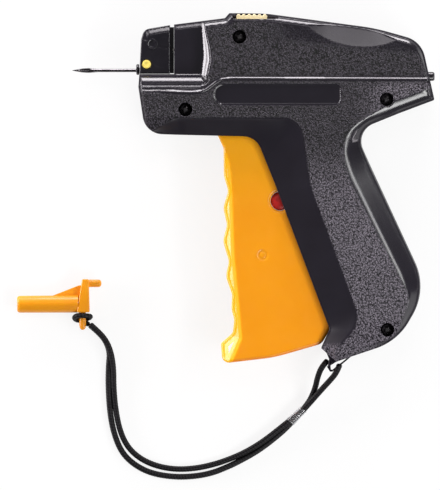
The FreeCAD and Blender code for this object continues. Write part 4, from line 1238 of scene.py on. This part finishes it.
def needle():
    """Hollow needle: slotted along its length and opened to a scoop near its tip."""
    tip, rear, count = -76.15, -38.0, 22
    verts = [(tip, BARREL_Y, 0)]
    rings = [[0]]
    for u in np.concatenate([np.linspace(0.12, 11.0, 56), np.linspace(12, rear - tip, 16)]):
        outer = np.interp(u, [0, 1.5, 4.2, 7.0, 9.2, 11.0], [0.03, 0.36, 0.86, 1.04, 0.86, 0.7])
        inner = np.interp(u, [0, 2.4, 3.4, 7.0, 11.0], [0.0, 0.02, 0.45, 0.74, 0.46])
        scoop = 0.80 * math.sin(math.pi * np.clip((u - 2.5) / 7.0, 0, 1)) ** 0.8
        gap = max(0.2 * ramp(u, 9.0, 10.0), scoop, 0.004)
        half = math.asin(min(gap / outer, 0.98))
        half_in = math.asin(min(gap / max(inner, gap / 0.98), 0.98))
        rise = -0.10 * math.sin(math.pi * np.clip(u / 9.0, 0, 1))
        rings.append(range(len(verts), len(verts) + 2 * count))
        for radius, opening, way in ((outer, half, 1), (inner, half_in, -1)):
            verts += [(tip + u, BARREL_Y + radius * math.sin(a), radius * math.cos(a) + rise)
                      for a in np.linspace(opening, 2 * math.pi - opening, count)[::way]]
    obj = mesh_object("needle_tube", verts, skin(rings))
    dress(obj, "housing", "dark_steel", "needle", angle=50)


def screws():
    """Pan heads with a cross recess, on the shanks that join the shells."""
    profile = [(0, 0), (0, 1.3), (17.32, 1.3), (17.82, 1.3), (17.82, 2.5), (18.22, 2.5),
               (18.82, 2.15), (19.22, 1.4), (19.37, 0.7), (19.42, 0)]
    turn, taper, middle = math.radians(20), 0.34, (11.0 + LIFT) * MM
    heads = []
    for place in SCREWS:
        head = lathe("shell_screws_set", profile, (*place, -8.5), (0, 0, 1), 40)
        for dx, dy in ((2.5, 0.85), (0.85, 2.5)):
            blade = box("blade", (-dx, dx), (-dy, dy), (9.5, 12.0))
            for v in blade.data.vertices:
                share = taper if v.co.z < middle else 1.0
                v.co.x, v.co.y = turned(v.co, turn) * share + np.array(place) * MM
            cut(head, blade)
        heads.append(head)
    join(*heads)
    dress(heads[0], "housing", "dark_steel", "shell_screws", angle=30)


def slider():
    """The top slider: a ribbed pad on a plate that is held under the wall."""
    x0, length, half, rib_width, ribs = -7.2, 13.0, 5.0, 1.2, 6
    pad = box("feed_release_slider_pad", (x0, x0 + length), (71.5, 74.3), (-half, half))
    soften(pad, 0.25, 3)
    plate = box("plate", (x0 - 1.8, x0 + length + 2.4), (70.9, 71.9), (-6.6, 6.6))
    soften(plate, 0.15, 2)
    join(pad, plate)
    pitch = (length - 0.8 - rib_width) / (ribs - 1)
    for k in range(ribs):
        low = x0 + 0.4 + k * pitch
        rib = box("rib", (low, low + rib_width), (73.9, 74.9), (-half + 0.05, half - 0.05))
        soften(rib, 0.3, 3)
        join(pad, rib)
    dress(pad, "slider_body", "yellow_plastic", "feed_release_slider", angle=40,
          finish="cream_plastic")


def stop_plug():
    profile = [(0, 0), (0, 2.6), (0.2, 2.8), (2.2, 2.8), (2.4, 2.6), (2.4, 1.9), (6.9, 1.9),
               (7.4, 1.7), (7.62, 1.3), (7.65, 0)]
    plug = lathe("rear_stop_plug_turned", profile, (68.5, 48.7, 0), (1, 0, 0))
    dress(plug, "housing", "smooth_black_plastic", "rear_stop_plug", angle=40)


# ---- cord, sleeve, hitch and cap -------------------------------------------------------
STRAND_A = [
    (31.4, -70.4, 14.5), (28.9, -72.9, 13.9), (27.0, -77.4, 10.6), (26.0, -82.4, 5.9),
    (23.4, -88.2, 2.3), (18.6, -93.8, 1.7), (15.5, -97.2, 1.4), (12.9, -99.8, 1.25),
    (10.4, -102.0, 1.25), (5.3, -106.1, 1.25), (0.3, -109.5, 1.25), (-4.8, -112.3, 1.25),
    (-9.9, -114.9, 1.25), (-17.8, -118.1, 1.25), (-26.6, -119.5, 1.25), (-35.2, -119.4, 1.25),
    (-43.8, -117.7, 1.25), (-50.4, -114.1, 1.25), (-55.3, -109.2, 1.25),
    (-58.5, -101.5, 1.25), (-60.2, -92.7, 1.25), (-60.9, -81.9, 1.25), (-60.8, -73.2, 1.25),
    (-60.2, -67.3, 1.25), (-61.9, -62.4, 1.25), (-65.1, -58.6, 1.7), (-68.9, -55.5, 2.4),
]
STRAND_B = [
    (36.4, -72.0, 17.1), (35.0, -75.7, 16.4), (32.0, -79.2, 12.7), (28.2, -83.3, 8.2),
    (24.0, -88.1, 4.7), (20.3, -92.2, 4.0), (17.6, -94.4, 3.8), (15.2, -95.9, 3.6),
    (12.8, -97.8, 3.4), (10.3, -99.8, 3.2), (5.2, -103.8, 3.1), (0.2, -107.1, 2.7),
    (-4.8, -109.8, 2.0), (-9.9, -112.0, 1.4), (-16.3, -114.2, 1.25), (-24.0, -115.9, 1.25),
    (-32.3, -116.4, 1.25), (-40.3, -115.1, 1.25), (-47.4, -112.0, 1.25),
    (-52.8, -107.1, 1.25), (-56.1, -100.1, 1.25), (-57.9, -91.0, 1.25), (-58.7, -81.9, 1.25),
    (-58.7, -74.0, 2.0), (-59.7, -67.4, 3.5), (-61.7, -62.4, 3.8), (-65.0, -58.5, 4.1),
    (-68.7, -55.3, 4.8),
]
HITCH = [
    (-68.9, -55.8, 2.3), (-70.6, -54.4, 1.6), (-72.8, -53.8, 1.25), (-74.6, -53.5, 2.2),
    (-75.3, -52.5, 4.1), (-74.0, -51.7, 5.9), (-71.9, -51.7, 6.35), (-69.7, -51.9, 5.9),
    (-68.4, -52.0, 4.3), (-68.5, -52.5, 2.4), (-69.9, -53.1, 1.3), (-71.3, -52.8, 1.15),
]


def spline(route):
    """The points of the smooth line that a route's NURBS spline draws, in millimetres."""
    curve = bpy.data.curves.new("route", "CURVE")
    curve.dimensions = "3D"
    line = curve.splines.new("NURBS")
    line.points.add(len(route) - 1)
    for point, place in zip(line.points, route):
        point.co = (*place, 1.0)
    line.order_u = 3
    line.use_endpoint_u = True
    line.resolution_u = 12
    obj = in_scene("route", curve)
    bpy.context.view_layer.update()
    mesh = bpy.data.meshes.new_from_object(obj)
    path = np.array([v.co[:] for v in mesh.vertices])
    bpy.data.objects.remove(obj)
    bpy.data.meshes.remove(mesh)
    return path


def spaced(path, step):
    """The path with its points evenly apart."""
    run = np.concatenate([[0], np.cumsum(np.linalg.norm(np.diff(path, axis=0), axis=1))])
    count = max(8, int(run[-1] / step))
    at = np.linspace(0, run[-1], count)
    return np.stack([np.interp(at, run, path[:, k]) for k in range(3)], 1), at


def braided(name, route, radius=1.26):
    """A braided cord along a route: crossing strands stand out of a round tube."""
    step, lay, count = 0.22, 9.6, 28
    path, at = spaced(spline(route), step)
    way = np.gradient(path, axis=0)
    way /= np.linalg.norm(way, axis=1)[:, None]
    side = np.zeros_like(way)
    first = np.cross(way[0], (0, 0, 1.0))
    side[0] = first / np.linalg.norm(first)
    for i in range(1, len(path)):
        s = side[i - 1] - way[i] * side[i - 1].dot(way[i])
        side[i] = s / np.linalg.norm(s)
    up = np.cross(way, side)
    a = np.arange(count) * 2 * math.pi / count
    turn = at[:, None] * 2 * math.pi / lay
    strands = np.cos(4 * (a[None, :] + turn)) * np.cos(4 * (a[None, :] - turn))
    fine = np.cos(12 * (a[None, :] + turn)) * 0.25
    lift = 0.5 + 0.5 * strands
    ends = np.minimum(at, at[-1] - at)
    r = radius * (0.92 + 0.08 * lift + 0.012 * fine)
    r *= np.sqrt(np.clip(ends / 0.5, 0.02, 1))[:, None]
    verts = (path[:, None, :] + side[:, None, :] * (r * np.cos(a))[:, :, None]
             + up[:, None, :] * (r * np.sin(a))[:, :, None]).reshape(-1, 3)
    obj = mesh_object(name, verts, skin([range(i, i + count)
                                         for i in range(0, len(verts), count)]), 0.0)
    # Painted light: the braid's crests are painted lighter where they face up, for the light
    # from above.
    out = side[:, None, 2] * np.cos(a) + up[:, None, 2] * np.sin(a)
    write(obj.data, "painted_lit_crest", (ramp(lift + fine, 0.3, 0.95) * ramp(out, 0.3, 0.9)).ravel())
    return obj, path * MM


def sleeve():
    """Clear flat-sided sleeve round the two strands, with rolled lips."""
    start, end = np.array((20.7, -90.8, 3.25)), np.array((15.6, -96.7, 2.75))
    length = np.linalg.norm(end - start)
    outer, wall, flat = 1.72, 0.22, 0.94
    lip = [(0.0, 0.10), (0.15, 0.0), (0.5, 0.02), (0.8, 0.06)]
    bore = [(0.5, wall + 0.03), (0.0, wall)]
    profile = ([(a, outer - r) for a, r in lip]
               + [(length - a, outer - r) for a, r in reversed(lip)]
               + [(length - a, outer - r) for a, r in reversed(bore)]
               + [(a, outer - r) for a, r in bore])
    tube = lathe("cord_sleeve_tube", profile, start, end - start, 56, 0.0)
    along = Vector(end - start) / length
    across = Vector((0.757, -0.654, 0.0))
    for v in tube.data.vertices:
        place = v.co - Vector(start) * MM
        t = place.dot(along) / (length * MM)
        rise = place.z - along.z * place.dot(along)
        v.co += across * ((0.45 - 0.74 * t) * MM + place.dot(across) * 0.2 * t)
        v.co.z += math.copysign(flat * MM, rise)
    tube.data.update()
    return tube


def cap():
    """The needle's cap: barrel, flange plate, peg, fin and tail."""
    y, z = -47.0, CAP_HEIGHT
    tip_x, length, radius, bore = -99.2, 25.6, 3.65, 2.1
    axis = (1, 0.006, 0)
    profile = [(0, bore), (0, 2.7), (0.15, 3.05), (0.55, 3.4), (1.2, 3.55), (length, radius),
               (length, bore)]
    barrel = lathe("needle_cap_moulding", profile, (tip_x, y, z), axis, 72, 0.0)
    plate = prism("plate", [(-71.9, -36.4), (-74.2, -50.4), (-68.7, -50.4), (-69.1, -36.4)],
                  z - 3.5, z + 3.5, 0.0)
    soften(plate, 0.6, 4)
    fin = prism("fin", [(-87.0, -44.4), (-86.5, -46.0), (-72.0, -46.0), (-71.5, -38.8),
                        (-73.5, -39.1)], z - 0.8, z + 0.8, 0.0)
    soften(fin, 0.25, 3)
    peg = lathe("peg", [(0, 0), (0, 1.6), (4.6, 1.6), (5.2, 1.5), (5.6, 1.25), (5.85, 0.8),
                        (5.95, 0)], (-69.75, -38.2, z), (1, 0, 0), 40, 0.0)
    tail = lathe("tail", [(0, 0), (0, 1.45), (6.6, 1.42), (7.6, 1.3), (8.3, 1.0), (8.7, 0.5),
                          (8.8, 0)], (-71.9, -49.0, z), (0.03, -1, 0), 40, 0.0)
    join(barrel, plate, fin, peg, tail)
    return cut(barrel, lathe(
        "hole", [(0, 0), (0, bore + 0.25), (0.3, bore), (23.0, bore), (23.6, 1.4), (23.8, 0)],
        (tip_x - 0.05, y, z), axis, 56, 0.0))


def cords():
    first, first_path = braided("cord_strand_a_braid", STRAND_A)
    second, second_path = braided("cord_strand_b_braid", STRAND_B)
    hitch, _ = braided("cord_hitch_turns", HITCH, 1.1)
    tube, cover = sleeve(), cap()
    for piece, slot, node, angle in (
            (first, "black_cord", "cord_strand_a", 60),
            (second, "black_cord", "cord_strand_b", 60), (hitch, "black_cord", "cord_hitch", 60),
            (tube, "clear_sleeve", "cord_sleeve", 50), (cover, "cap_orange", "needle_cap", 35)):
        dress(piece, "housing", slot, node, angle=angle)


def carried_over():
    """The inner pieces keep their CAD shape and get their slot's finish."""
    for row in frame["record"]["subparts"]:
        node = frame["nodes"][row["node"]]
        node.data.materials.clear()
        node.data.materials.append(finishes[row["material_slot"]])


bpy.context.scene.view_settings.view_transform = "Standard"
camera()
studio()
carried_over()
cords()
shells()
trigger()
nose()
button_spring()
needle()
screws()
slider()
stop_plug()

bpy.context.view_layer.update()
